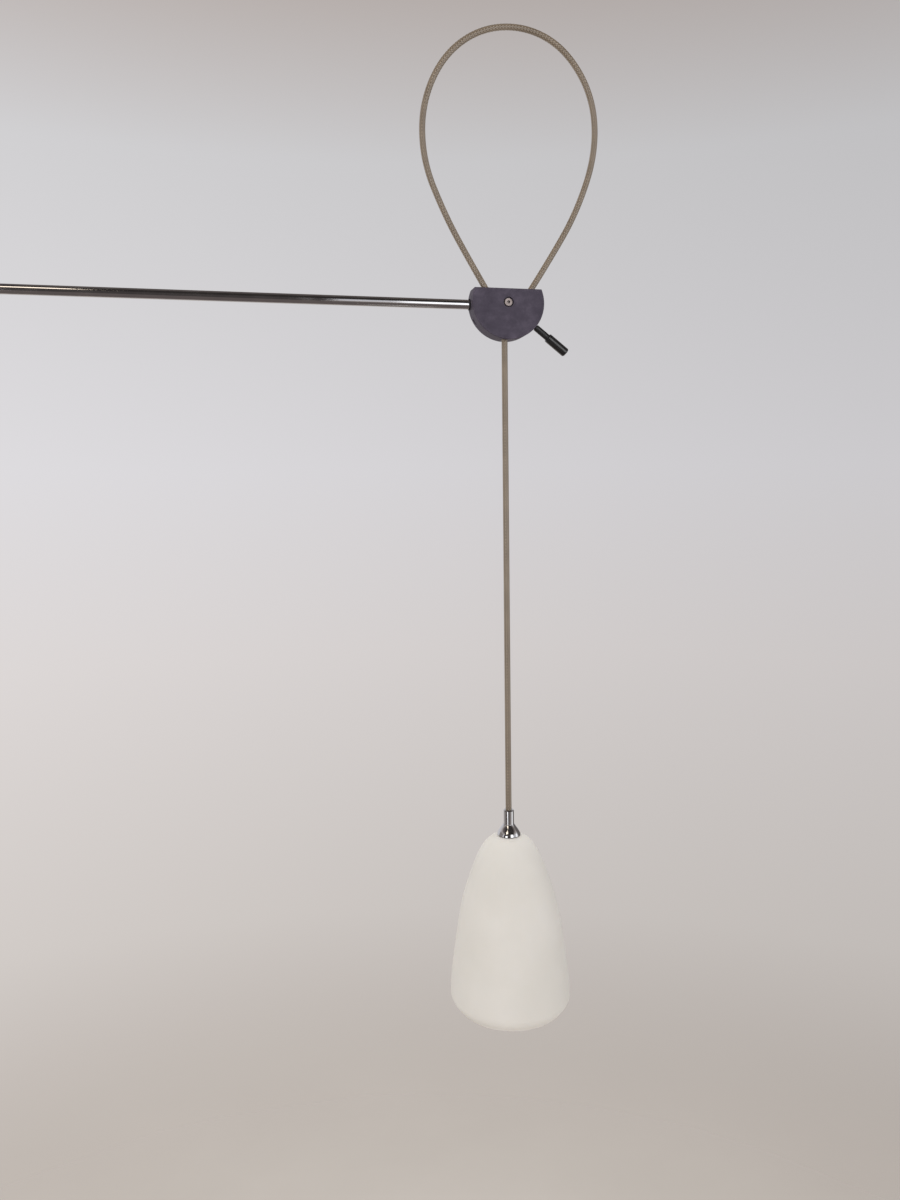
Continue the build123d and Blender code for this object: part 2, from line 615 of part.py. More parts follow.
# Front shell: pocket for the cam, slot for the lever, channel for the clamped cable
lever_angles = (LEVER_ANGLE, LEVER_ANGLE - LEVER_THROW)
lug_sweep = (hypot(LUG_R, LUG_W / 2) + LUG_ROOM) / cos(radians(LEVER_THROW / 2))
slot_r = 2 * HEAD_R
neck_room = LEVER_NECK_R + CABLE_GAP
with BuildPart() as head_front:
    with BuildSketch(head_layer(split_y)):
        add(head_outline.sketch)
    extrude(amount=split_y - face_y)
    chamfer(head_front.faces().sort_by(Axis.Y)[0].edges(), HEAD_EDGE)
    with BuildLine() as clamp_way:
        FilletPolyline([head_point(p.X, front_y, p.Y) for p in clamp_line], radius=LEFT_BEND)
    with BuildSketch(Plane(origin=clamp_way.line @ 0, z_dir=clamp_way.line % 0)):
        Circle(channel_r)
    sweep(mode=Mode.SUBTRACT)
    with BuildSketch(head_layer(split_y)):
        with BuildLine():
            FilletPolyline(clamp_line, radius=LEFT_BEND)
        trace(line_width=2 * channel_r)
    extrude(amount=channel_r, mode=Mode.SUBTRACT)
    with BuildSketch(head_layer(split_y)):
        Circle(cam_reach)
        Polygon((0, 0), polar(lug_sweep, lever_angles[0]), polar(lug_sweep, lever_angles[1]), align=None)
        for angle in lever_angles:
            Rectangle(
                LUG_R + LUG_ROOM,
                LUG_W + 2 * LUG_ROOM,
                rotation=angle,
                align=(Align.MIN, Align.CENTER),
            )
    extrude(amount=split_y - floor_y, mode=Mode.SUBTRACT)
    with BuildSketch(head_layer(split_y)):
        Polygon((0, 0), polar(slot_r, lever_angles[0]), polar(slot_r, lever_angles[1]), align=None)
        for angle in lever_angles:
            Rectangle(slot_r, 2 * neck_room, rotation=angle, align=(Align.MIN, Align.CENTER))
    extrude(amount=channel_r + neck_room, mode=Mode.SUBTRACT)
    with BuildSketch(head_layer(face_y)):
        Circle(COUNTERBORE_R)
    extrude(amount=-COUNTERBORE_DEPTH, mode=Mode.SUBTRACT)
    with BuildSketch(head_layer(face_y)):
        Circle(AXLE_R + FIT)
    extrude(amount=-FRONT_WALL, mode=Mode.SUBTRACT)
    with BuildSketch(head_layer(split_y)):
        with Locations(*HEAD_SCREWS):
            Circle(M3_R + FIT)
    extrude(amount=HEAD_SCREW_DEPTH, mode=Mode.SUBTRACT)
    with BuildSketch(Plane(origin=head_point(HEAD_ARM_END, 0, -HEAD_LIFT), z_dir=(-1, 0, 0))):
        Circle(ARM_R + FIT)
    extrude(amount=HEAD_R, mode=Mode.SUBTRACT)
head_front.part.label = "head_front"
export_step(head_front.part, "parts/head_front.step")

# Separator: thin steel plate between the two cables
with BuildPart() as separator_plate:
    with BuildSketch(head_layer(split_y)):
        add(head_outline.sketch)
        offset(amount=-SEPARATOR_MARGIN - FIT)
        Circle(M4_R + FIT, mode=Mode.SUBTRACT)
        with Locations(*HEAD_SCREWS):
            Circle(M3_R + FIT, mode=Mode.SUBTRACT)
        with Locations((HEAD_ARM_END, -HEAD_LIFT)):
            Rectangle(
                HEAD_R,
                2 * (ARM_R + FIT),
                align=(Align.MAX, Align.CENTER),
                mode=Mode.SUBTRACT,
            )
    extrude(amount=-SEPARATOR_T)
separator_plate.part.label = "separator_plate"
export_step(separator_plate.part, "parts/separator_plate.step")

# Centre screw: its shoulder is the cam's axle, and its thread draws the shells together
with BuildPart() as axle_screw:
    with BuildSketch(head_layer(face_y + COUNTERBORE_DEPTH)):
        Circle(AXLE_HEAD_R)
    extrude(amount=AXLE_HEAD_H)
    fillet(axle_screw.faces().sort_by(Axis.Y)[0].edges(), M4_R / 5)
    with BuildSketch(head_layer(face_y + COUNTERBORE_DEPTH)):
        Circle(AXLE_R)
    extrude(amount=face_y + COUNTERBORE_DEPTH - split_y)
    with BuildSketch(head_layer(split_y)):
        Circle(M4_R)
    extrude(amount=split_y - back_y + BACK_WALL)
    with BuildSketch(head_layer(face_y + COUNTERBORE_DEPTH - AXLE_HEAD_H)):
        RegularPolygon(AXLE_HEX, 6)
    extrude(amount=-SOCKET_DEPTH, mode=Mode.SUBTRACT)
axle_screw.part.label = "axle_screw"
export_step(axle_screw.part, "parts/axle_screw.step")

# Screws from the back into the front shell
with BuildPart() as head_screws:
    with BuildSketch(head_layer(split_y - HEAD_SCREW_DEPTH + FIT)):
        with Locations(*HEAD_SCREWS):
            Circle(M3_R)
    extrude(amount=split_y - HEAD_SCREW_DEPTH - back_y + M3_R)
    with BuildSketch(head_layer(back_y)):
        with Locations(*HEAD_SCREWS):
            Circle(2 * M3_R)
    extrude(amount=M3_R, taper=45)
    with BuildSketch(head_layer(back_y)):
        with Locations(*HEAD_SCREWS):
            RegularPolygon(HEX_SOCKET, 6)
    extrude(amount=SOCKET_DEPTH, mode=Mode.SUBTRACT)
head_screws.part.label = "head_screws"
export_step(head_screws.part, "parts/head_screws.step")

# Grub screws: one pinches the arm tube, one holds the arm's cable at the right exit
with BuildPart() as tube_set_screw:
    with BuildSketch(Plane(origin=head_point(set_screw_u, 0, -HEAD_LIFT - ARM_R), z_dir=(0, 0, -1))):
        Circle(M4_R)
    extrude(amount=GRUB_LENGTH)
    with BuildSketch(tube_set_screw.faces().sort_by(Axis.Z)[0]):
        RegularPolygon(HEX_SOCKET, 6)
    extrude(amount=-SOCKET_DEPTH, mode=Mode.SUBTRACT)
tube_set_screw.part.label = "tube_set_screw"
export_step(tube_set_screw.part, "parts/tube_set_screw.step")

with BuildPart() as anchor_screw:
    with BuildSketch(head_layer(CABLE_R)):
        with Locations(anchor):
            Circle(M4_R)
    extrude(amount=CABLE_R - back_y)
    with BuildSketch(anchor_screw.faces().sort_by(Axis.Y)[-1]):
        RegularPolygon(HEX_SOCKET, 6)
    extrude(amount=-SOCKET_DEPTH, mode=Mode.SUBTRACT)
anchor_screw.part.label = "anchor_screw"
export_step(anchor_screw.part, "parts/anchor_screw.step")

# Black seal ring round the arm where it enters the head
with BuildPart() as tube_seal:
    with BuildSketch(Plane(origin=head_point(-HEAD_R, 0, -HEAD_LIFT), z_dir=(-1, 0, 0))):
        Circle(SEAL_R)
        Circle(ARM_R + FIT, mode=Mode.SUBTRACT)
    extrude(amount=SEAL_T)
    fillet(tube_seal.faces().sort_by(Axis.X)[0].edges().sort_by(SortBy.RADIUS)[-1], SEAL_T / 3)
tube_seal.part.label = "tube_seal"
export_step(tube_seal.part, "parts/tube_seal.step")

# Cam: an eccentric disc with a lug that takes the lever
cam_front = front_y - CAM_T / 2
with BuildPart() as clamp_cam:
    with BuildSketch(head_layer(front_y + CAM_T / 2)):
        with Locations(polar(CAM_OFFSET, lobe_angle)):
            Circle(cam_r)
        Rectangle(LUG_R, LUG_W, rotation=LEVER_ANGLE, align=(Align.MIN, Align.CENTER))
        Circle(AXLE_R + FIT, mode=Mode.SUBTRACT)
    extrude(amount=CAM_T)
    lever_way = Vector(*polar(1, LEVER_ANGLE))
    lever_root = head_point(lever_way.X * LEVER_ROOT, front_y, lever_way.Y * LEVER_ROOT)
    lever_plane = Plane(origin=lever_root, x_dir=(0, 1, 0), z_dir=(lever_way.X, 0, lever_way.Y))
    with BuildSketch(lever_plane):
        Circle(LEVER_NECK_R + FIT)
    extrude(amount=LUG_R, mode=Mode.SUBTRACT)
clamp_cam.part.label = "clamp_cam"
export_step(clamp_cam.part, "parts/clamp_cam.step")

# Wave washer between the cam and the front shell, which makes the lever stay where it is put
with BuildPart() as wave_washer:
    with BuildSketch(head_layer(cam_front)):
        Circle(WAVE_WASHER_R)
        Circle(AXLE_R + FIT, mode=Mode.SUBTRACT)
    extrude(amount=WAVE_WASHER_T)
wave_washer.part.label = "wave_washer"
export_step(wave_washer.part, "parts/wave_washer.step")

# Lever: a round neck screwed into the cam, thicker outside the head, with a turned grip on its end
rod_start = HEAD_R + LEVER_ROD_GAP
with BuildPart() as lever_neck:
    with BuildSketch(lever_plane):
        Circle(LEVER_NECK_R)
    extrude(amount=GRIP_START + GRIP_OVERLAP - LEVER_ROOT)
    with BuildSketch(lever_plane.offset(rod_start - LEVER_ROOT)):
        Circle(LEVER_ROD_R)
    extrude(amount=GRIP_START - rod_start)
lever_neck.part.label = "lever_neck"
export_step(lever_neck.part, "parts/lever_neck.step")

with BuildPart() as lever_grip:
    with BuildSketch(lever_plane.offset(GRIP_START - LEVER_ROOT)):
        Circle(LEVER_GRIP_R)
    extrude(amount=GRIP_END - GRIP_START)
    chamfer(lever_grip.edges().filter_by(GeomType.CIRCLE), LEVER_GRIP_EDGE)
    with BuildSketch(lever_plane.offset(GRIP_START - LEVER_ROOT + 2 * LEVER_GRIP_EDGE)):
        Circle(LEVER_GRIP_R)
        Circle(LEVER_GRIP_R - LEVER_RING, mode=Mode.SUBTRACT)
    extrude(amount=LEVER_RING, mode=Mode.SUBTRACT)
    with BuildSketch(lever_plane.offset(GRIP_START - LEVER_ROOT)):
        Circle(LEVER_NECK_R + FIT)
    extrude(amount=GRIP_OVERLAP, mode=Mode.SUBTRACT)
lever_grip.part.label = "lever_grip"
export_step(lever_grip.part, "parts/lever_grip.step")

# Arm cable: one run from the stem's top through the elbow and the arm to the right exit of the head
arm_points = (
    Vector(0, 0, stem_top),
    Vector(0, 0, -ARM_DROP),
    head_point(tube_corner.X, 0, tube_corner.Y),
    head_point(right_corner.X, 0, right_corner.Y),
    head_point(right_exit.X, 0, right_exit.Y),
)
arm_radii = (ELBOW_BEND,) + arm_turns
with BuildPart() as cable_arm:
    with BuildLine() as arm_path:
        FilletPolyline(*arm_points, radius=arm_radii)
    with BuildSketch(Plane(origin=arm_path.line @ 0, z_dir=arm_path.line % 0)):
        Circle(CABLE_R)
    sweep()
cable_arm.part.label = "cable_arm"
export_step(cable_arm.part, "parts/cable_arm.step")
report_cord("cable_arm", cable_arm.part, arm_path.line, arm_radii)

# Free loop of cable that stands over the head
loop_points = [head_point(*point) for point in LOOP]
loop_radii = cord_radii(loop_points)
with BuildPart() as cable_loop:
    with BuildLine() as loop_path:
        FilletPolyline(*loop_points, radius=loop_radii)
    with BuildSketch(Plane(origin=loop_path.line @ 0, z_dir=loop_path.line % 0)):
        Circle(CABLE_R)
    sweep()
cable_loop.part.label = "cable_loop"
export_step(cable_loop.part, "parts/cable_loop.step")
report_cord("cable_loop", cable_loop.part, loop_path.line, loop_radii)

# Clamped stretch, from the left exit past the cam to the exit under the head
clamp_points = (
    head_point(left_exit.X, front_y, left_exit.Y),
    head_point(left_corner.X, front_y, left_corner.Y),
    head_point(EXIT_U, front_y, -HEAD_R),
)
with BuildPart() as cable_clamped:
    with BuildLine() as clamp_path:
        FilletPolyline(*clamp_points, radius=LEFT_BEND)
    with BuildSketch(Plane(origin=clamp_path.line @ 0, z_dir=clamp_path.line % 0)):
        Circle(CABLE_R)
    sweep()
cable_clamped.part.label = "cable_clamped"
export_step(cable_clamped.part, "parts/cable_clamped.step")
report_cord("cable_clamped", cable_clamped.part, clamp_path.line, (LEFT_BEND,))

# Hanging drop, straight under its load, and the tail of the cable inside the fittings
with BuildPart() as cable_drop:
    with Locations((pendant_x, front_y, head_bottom)):
        Cylinder(CABLE_R, DROP_LENGTH, align=TOP)
cable_drop.part.label = "cable_drop"
export_step(cable_drop.part, "parts/cable_drop.step")

tail_z = holder_z - TAIL_BELOW
with BuildPart() as cable_tail:
    with Locations(on_pendant(tail_z)):
        Cylinder(CABLE_R, grip_top - shade_top - tail_z, align=BOTTOM)
cable_tail.part.label = "cable_tail"
export_step(cable_tail.part, "parts/cable_tail.step")

# Cord grip: a chromed sleeve whose spigot screws into the nipple through the dome
with BuildPart() as cord_grip:
    with Locations(on_pendant(dome_top - shade_top)):
        Cylinder(CORD_GRIP_R, CORD_GRIP_H, align=BOTTOM)
        Cylinder(SPIGOT_R, SPIGOT_H, align=TOP)
    chamfer(cord_grip.faces().sort_by(Axis.Z)[-1].edges(), HEAD_EDGE)
    with Locations(on_pendant(0)):
        Hole(CABLE_R + FIT)
    with Locations(on_pendant(dome_top - shade_top + CORD_GRIP_H / 2)):
        Cylinder(M3_R + FIT, 2 * CORD_GRIP_R, rotation=(90, 0, 0), align=TOP, mode=Mode.SUBTRACT)
cord_grip.part.label = "cord_grip"
export_step(cord_grip.part, "parts/cord_grip.step")

with BuildPart() as grip_screw:
    grip_level = dome_top + CORD_GRIP_H / 2
    with BuildSketch(Plane(origin=(pendant_x, front_y + CABLE_R, grip_level), z_dir=(0, 1, 0))):
        Circle(M3_R)
    extrude(amount=CORD_GRIP_R - CABLE_R)
    with BuildSketch(grip_screw.faces().sort_by(Axis.Y)[-1]):
        RegularPolygon(M3_R / 2, 6)
    extrude(amount=-M3_R / 2, mode=Mode.SUBTRACT)
grip_screw.part.label = "grip_screw"
export_step(grip_screw.part, "parts/grip_screw.step")

# Dome cap: thin chromed bell that covers the top of the shade
dome_low = GASKET_T
dome_high = dome_top - shade_top
with BuildPart() as dome_cap:
    with BuildSketch(pendant_side):
        with BuildLine():
            Bezier(
                (DOME_TOP_R, dome_high),
                (DOME_TOP_R + DOME_FLARE, dome_high - DOME_RISE),
                (DOME_BASE_R - DOME_TUCK, dome_low + DOME_ROUND),
                (DOME_BASE_R, dome_low),
            )
            Polyline(
                (DOME_BASE_R, dome_low),
                (DOME_BASE_R - DOME_WALL, dome_low),
                (DOME_BASE_R - DOME_WALL, dome_low + DOME_LIP),
                (NIPPLE_R + FIT, dome_high - DOME_WALL),
                (SPIGOT_R + FIT, dome_high - DOME_WALL),
                (SPIGOT_R + FIT, dome_high),
                (DOME_TOP_R, dome_high),
            )
        make_face()
    revolve(axis=pendant_axis)
dome_cap.part.label = "dome_cap"
export_step(dome_cap.part, "parts/dome_cap.step")

# Nipple: hollow threaded rod that clamps dome, shade and lampholder together
nipple_top = dome_high - DOME_WALL
nipple_low = holder_z - NIPPLE_BELOW
with BuildPart() as nipple:
    with Locations(on_pendant(nipple_low)):
        Cylinder(NIPPLE_R, nipple_top - nipple_low, align=BOTTOM)
        Hole(SPIGOT_R + FIT)
nipple.part.label = "nipple"
export_step(nipple.part, "parts/nipple.step")

# Rubber gaskets above and below the top of the shade, and the nut under it
with BuildPart() as upper_gasket:
    with Locations(on_pendant(0)):
        Cylinder(GASKET_R, GASKET_T, align=BOTTOM)
        Hole(NIPPLE_R + FIT)
upper_gasket.part.label = "upper_gasket"
export_step(upper_gasket.part, "parts/upper_gasket.step")

with BuildPart() as lower_gasket:
    with Locations(on_pendant(under_z)):
        Cylinder(GASKET_R, GASKET_T, align=BOTTOM)
        Hole(NIPPLE_R + FIT)
lower_gasket.part.label = "lower_gasket"
export_step(lower_gasket.part, "parts/lower_gasket.step")

with BuildPart() as shade_nut:
    with BuildSketch(Plane(on_pendant(holder_z))):
        RegularPolygon(NUT_R, 6)
        Circle(NIPPLE_R + FIT, mode=Mode.SUBTRACT)
    extrude(amount=NUT_H)
shade_nut.part.label = "shade_nut"
export_step(shade_nut.part, "parts/shade_nut.step")


# Shade: bell that draws in a little at its wide mouth, of even wall, with a round lip
def wall_line(inset):
    """Points of the wall from the belly up to the crown, moved inwards by inset."""
    points = [(BELLY_R - inset, BELLY_H - SHADE_H)]
    for radius, height, lean in WALL_STATIONS:
        x = radius - inset * cos(radians(lean))
        points.append((x, height - SHADE_H - inset * sin(radians(lean))))
    return points


mouth = Vector(MOUTH_R, -SHADE_H)
mouth_way = Vector(*polar(1, MOUTH_SLOPE))
mouth_in = mouth + Vector(*polar(SHADE_WALL, MOUTH_SLOPE + 90))
lip = (mouth + mouth_in) / 2 - mouth_way * (SHADE_WALL / 2)
curl = (BELLY_R - MOUTH_R) / 2
shade_outer = wall_line(0)
shade_inner = wall_line(SHADE_WALL)
with BuildPart() as shade:
    with BuildSketch(pendant_side):
        with BuildLine():
            Bezier(
                mouth,
                mouth + mouth_way * curl,
                (BELLY_R, BELLY_H / 2 - SHADE_H),
                shade_outer[0],
            )
            Spline(*shade_outer, (SHADE_NECK_R, 0), tangents=[(0, 1), (-1, 0.25)])
            Polyline(
                (SHADE_NECK_R, 0),
                (NIPPLE_R + FIT, 0),
                (NIPPLE_R + FIT, -SHADE_TOP_T),
                (SHADE_FLAT_R, -SHADE_TOP_T),
            )
            Spline(
                (SHADE_FLAT_R, -SHADE_TOP_T),
                *reversed(shade_inner),
                tangents=[(1, -0.25), (0, -1)],
            )
            Bezier(
                shade_inner[0],
                (BELLY_R - SHADE_WALL, BELLY_H / 2 + SHADE_WALL / 2 - SHADE_H),
                mouth_in + mouth_way * curl,
                mouth_in,
            )
            ThreePointArc(mouth_in, lip, mouth)
        make_face()
    revolve(axis=pendant_axis)
shade.part.label = "shade"
export_step(shade.part, "parts/shade.step")

# Lampholder: cap and body of black plastic with a ceramic insert, a screw shell and a contact
with BuildPart() as holder_cap:
    with Locations(on_pendant(holder_z)):
        Cylinder(HOLDER_R, HOLDER_CAP_H, align=TOP)
    fillet(holder_cap.faces().sort_by(Axis.Z)[-1].edges(), HOLDER_WALL)
    with Locations(on_pendant(holder_z - HOLDER_WALL)):
        Cylinder(HOLDER_R - HOLDER_WALL, HOLDER_CAP_H - HOLDER_WALL, align=TOP, mode=Mode.SUBTRACT)
    with Locations(on_pendant(0)):
        Hole(NIPPLE_R + FIT)
holder_cap.part.label = "holder_cap"
export_step(holder_cap.part, "parts/holder_cap.step")

body_z = holder_z - HOLDER_CAP_H
with BuildPart() as holder_body:
    with Locations(on_pendant(body_z)):
        Cylinder(HOLDER_R, HOLDER_BODY_H, align=TOP)
        Cylinder(HOLDER_R - HOLDER_WALL, HOLDER_BODY_H, align=TOP, mode=Mode.SUBTRACT)
    fillet(holder_body.faces().sort_by(Axis.Z)[0].edges().sort_by(SortBy.RADIUS)[-1], HOLDER_WALL / 2)
holder_body.part.label = "holder_body"
export_step(holder_body.part, "parts/holder_body.step")

with BuildPart() as holder_insert:
    with Locations(on_pendant(insert_z)):
        Cylinder(HOLDER_R - HOLDER_WALL - FIT, INSERT_T, align=TOP)
holder_insert.part.label = "holder_insert"
export_step(holder_insert.part, "parts/holder_insert.step")

with BuildPart() as screw_shell:
    with Locations(on_pendant(shell_z)):
        Cylinder(SHELL_R, SHELL_H, align=TOP)
        Cylinder(SHELL_R - SHELL_WALL, SHELL_H, align=TOP, mode=Mode.SUBTRACT)
screw_shell.part.label = "screw_shell"
export_step(screw_shell.part, "parts/screw_shell.step")

with BuildPart() as centre_contact:
    with Locations(on_pendant(shell_z)):
        Cylinder(CONTACT_R, CONTACT_H, align=TOP)
centre_contact.part.label = "centre_contact"
export_step(centre_contact.part, "parts/centre_contact.step")

with BuildPart() as holder_wires:
    with Locations(on_pendant(insert_z)):
        with GridLocations(WIRE_PITCH, 0, 2, 1):
            Cylinder(WIRE_R, tail_z - insert_z, align=BOTTOM)
holder_wires.part.label = "holder_wires"
export_step(holder_wires.part, "parts/holder_wires.step")

# Bulb: small globe with a screw base
glass_z = base_z - BULB_BASE_H
with BuildPart() as bulb_base:
    with Locations(on_pendant(base_z)):
        Cylinder(BULB_BASE_R, BULB_BASE_H, align=TOP)
    chamfer(bulb_base.faces().sort_by(Axis.Z)[-1].edges(), BULB_BASE_R / 3)
bulb_base.part.label = "bulb_base"
export_step(bulb_base.part, "parts/bulb_base.step")

globe_z = glass_z - BULB_LENGTH + BULB_R
shoulder_r = BULB_R - BULB_NECK_R
shoulder_h = BULB_LENGTH - 2 * BULB_R + BULB_NECK_R
with BuildPart() as bulb_glass:
    with Locations(on_pendant(globe_z)):
        Sphere(BULB_R)
    with Locations(on_pendant(glass_z)):
        Cone(shoulder_r, BULB_NECK_R, shoulder_h, align=TOP)
    with Locations(on_pendant(globe_z)):
        Sphere(BULB_R - BULB_WALL, mode=Mode.SUBTRACT)
    with Locations(on_pendant(glass_z)):
        Cone(
            shoulder_r - BULB_WALL,
            BULB_NECK_R - BULB_WALL,
            shoulder_h,
            align=TOP,
            mode=Mode.SUBTRACT,
        )
bulb_glass.part.label = "bulb_glass"
export_step(bulb_glass.part, "parts/bulb_glass.step")
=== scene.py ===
import json
import math

import bmesh
import bpy
from mathutils import Matrix, Vector


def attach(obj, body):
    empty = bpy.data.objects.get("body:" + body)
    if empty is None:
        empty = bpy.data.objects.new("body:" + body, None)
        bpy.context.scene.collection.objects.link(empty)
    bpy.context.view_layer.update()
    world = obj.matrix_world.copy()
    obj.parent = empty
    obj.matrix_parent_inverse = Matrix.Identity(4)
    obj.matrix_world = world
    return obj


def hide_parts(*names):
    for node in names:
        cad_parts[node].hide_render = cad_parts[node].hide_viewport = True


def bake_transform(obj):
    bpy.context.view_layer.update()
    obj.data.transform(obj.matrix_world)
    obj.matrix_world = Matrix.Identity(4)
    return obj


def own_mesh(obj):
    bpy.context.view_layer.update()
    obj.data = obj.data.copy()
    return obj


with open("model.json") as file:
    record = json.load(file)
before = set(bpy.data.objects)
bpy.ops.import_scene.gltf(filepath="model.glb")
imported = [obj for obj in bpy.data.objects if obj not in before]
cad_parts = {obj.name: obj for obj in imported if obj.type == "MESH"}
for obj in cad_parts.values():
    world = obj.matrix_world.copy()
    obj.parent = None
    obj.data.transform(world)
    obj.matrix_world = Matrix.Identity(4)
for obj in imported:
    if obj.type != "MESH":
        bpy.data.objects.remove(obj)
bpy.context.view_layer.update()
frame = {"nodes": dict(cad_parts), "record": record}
nodes = frame["nodes"]
scene = bpy.context.scene
scene.view_settings.view_transform = "Standard"

# Studio: a pale plaster floor 2.4 m under the ceiling that fades out at its rim, pale air behind the
# lamp, and four soft lamps. Dark flags and bright cards stand round the lamp, where only reflections
# show them: they give the polished tube and cap a dim side and bright windows.


def linear(hex_colour):
    """An sRGB hex colour as linear red, green, blue and alpha."""
    channels = [int(hex_colour[i : i + 2], 16) / 255 for i in (1, 3, 5)]
    return [c / 12.92 if c <= 0.04045 else ((c + 0.055) / 1.055) ** 2.4 for c in channels] + [1.0]


def add(tree, kind, links=None, stops=(), **settings):
    """Adds a node with its settings and a ramp's stops.

    Links gives each input a value or the socket that feeds it.
    """
    node = tree.nodes.new(kind)
    for key, value in settings.items():
        setattr(node, key, value)
    for _ in stops[2:]:
        node.color_ramp.elements.new(1.0)
    for number, (place, colour) in enumerate(stops):
        node.color_ramp.elements[number].position = place
        node.color_ramp.elements[number].color = linear(colour)
    for socket, value in (links or {}).items():
        if isinstance(value, bpy.types.NodeSocket):
            tree.links.new(value, node.inputs[socket])
        else:
            node.inputs[socket].default_value = value
    return node


def new_material(name, sockets):
    """A material with a principled shader whose sockets are set, with its tree and its shader."""
    material = bpy.data.materials.new(name)
    material.use_nodes = True
    tree = material.node_tree
    tree.nodes.clear()
    shader = add(tree, "ShaderNodeBsdfPrincipled", sockets)
    add(tree, "ShaderNodeOutputMaterial", {"Surface": shader.outputs["BSDF"]})
    return material, tree, shader


def new_piece(name, mesh, material):
    """An object of one mesh and one material, at the origin."""
    piece = bpy.data.objects.new(name, mesh)
    scene.collection.objects.link(piece)
    mesh.materials.clear()
    mesh.materials.append(material)
    return piece


# Nearly all of a noise texture lies between these two.
NOISE_LOW, NOISE_HIGH = 0.3, 0.7

# Painted plaster: flat warm white with a very faint mottle, so wide that it only just shows.
FLOOR_MIDDLE = (0.45, 0.0, -2.4)
FLOOR_R = 2.6
FLOOR_SOLID_R = 0.6
FLOOR_MOTTLE = 333.3
floor_paint, tree, shader = new_material("painted_plaster_floor", {"Roughness": 0.8})
coords = add(tree, "ShaderNodeTexCoord").outputs["Object"]
mottle = add(
    tree,
    "ShaderNodeTexNoise",
    {"Vector": coords, "Scale": 1000 / FLOOR_MOTTLE, "Detail": 4.0},
)
tint = add(
    tree,
    "ShaderNodeValToRGB",
    {"Fac": mottle.outputs["Fac"]},
    stops=((NOISE_LOW, "#dfd9d3"), (NOISE_HIGH, "#e5dfd9")),
)
from_middle = add(tree, "ShaderNodeVectorMath", {0: coords}, operation="LENGTH")
fade = add(
    tree,
    "ShaderNodeMapRange",
    {
        "Value": from_middle.outputs["Value"],
        "From Min": FLOOR_SOLID_R,
        "From Max": FLOOR_R,
        "To Min": 1.0,
        "To Max": 0.0,
    },
    interpolation_type="SMOOTHSTEP",
)
tree.links.new(tint.outputs["Color"], shader.inputs["Base Color"])
tree.links.new(fade.outputs["Result"], shader.inputs["Alpha"])
floor_mesh = bpy.data.meshes.new("floor")
edit = bmesh.new()
bmesh.ops.create_circle(edit, cap_ends=True, segments=96, radius=FLOOR_R)
edit.to_mesh(floor_mesh)
edit.free()
floor = new_piece("floor", floor_mesh, floor_paint)
floor.location = FLOOR_MIDDLE

# Air: its colours from low to high are what the eye and reflections see; the rest is an even glow.
world = bpy.data.worlds.new("pale_room")
scene.world = world
world.use_nodes = True
tree = world.node_tree
tree.nodes.clear()
direction = add(tree, "ShaderNodeTexCoord").outputs["Generated"]
direction = add(tree, "ShaderNodeSeparateXYZ", {"Vector": direction})
level = add(
    tree,
    "ShaderNodeMapRange",
    {"Value": direction.outputs["Z"], "From Min": -0.65, "From Max": 0.95},
)
air = add(
    tree,
    "ShaderNodeValToRGB",
    {"Fac": level.outputs["Result"]},
    stops=(
        (0.03, "#b1a79f"),
        (0.15, "#cec8c4"),
        (0.3, "#d9d4d3"),
        (0.42, "#dad8db"),
        (0.615, "#cecdcf"),
        (0.71, "#b6ada9"),
        (0.8, "#5d5653"),
    ),
)
side = add(
    tree,
    "ShaderNodeMapRange",
    {
        "Value": direction.outputs["X"],
        "From Min": -0.25,
        "From Max": 0.6,
        "To Min": 1.04,
        "To Max": 0.86,
    },
)
seen = add(
    tree,
    "ShaderNodeBackground",
    {"Color": air.outputs["Color"], "Strength": side.outputs["Result"]},
)
from_above = add(
    tree,
    "ShaderNodeMapRange",
    {
        "Value": direction.outputs["Z"],
        "From Min": -1.0,
        "From Max": 1.0,
        "To Min": 0.54,
        "To Max": 0.8,
    },
)
glow = add(
    tree,
    "ShaderNodeBackground",
    {"Color": linear("#f8f6f3"), "Strength": from_above.outputs["Result"]},
)
ray = add(tree, "ShaderNodeLightPath")
shown = ray.outputs["Is Camera Ray"]
for kind in ("Is Glossy Ray", "Is Transmission Ray"):
    either = add(tree, "ShaderNodeMath", {0: shown, 1: ray.outputs[kind]}, operation="MAXIMUM")
    shown = either.outputs["Value"]
both = add(
    tree,
    "ShaderNodeMixShader",
    {0: shown, 1: glow.outputs["Background"], 2: seen.outputs["Background"]},
)
add(tree, "ShaderNodeOutputWorld", {"Surface": both.outputs["Shader"]})

# Each lamp's place, size, watts and colour. Reflections show the cards, not the lamps.
LAMPS = (
    ("key_lamp", (-1.1, -1.7, 0.9), 1.5, 18.8, "#fffcf9"),
    ("fill_lamp", (2.3, -1.5, -0.2), 1.6, 3.2, "#f4f6ff"),
    ("back_lamp", (0.9, 1.9, 0.5), 1.4, 9.0, "#ffffff"),
    ("low_lamp", (0.6, -0.4, -2.3), 1.0, 2.0, "#fff6ec"),
)
LAMP_AIM = Vector((0.55, 0.0, -0.65))
for name, place, size, power, colour in LAMPS:
    lamp = bpy.data.lights.new(name, "AREA")
    lamp.shape = "DISK"
    lamp.size = size
    lamp.energy = power
    lamp.color = linear(colour)[:3]
    holder = bpy.data.objects.new(name, lamp)
    holder.location = place
    holder.rotation_euler = (LAMP_AIM - Vector(place)).to_track_quat("-Z", "Y").to_euler()
    holder.visible_glossy = False
    scene.collection.objects.link(holder)

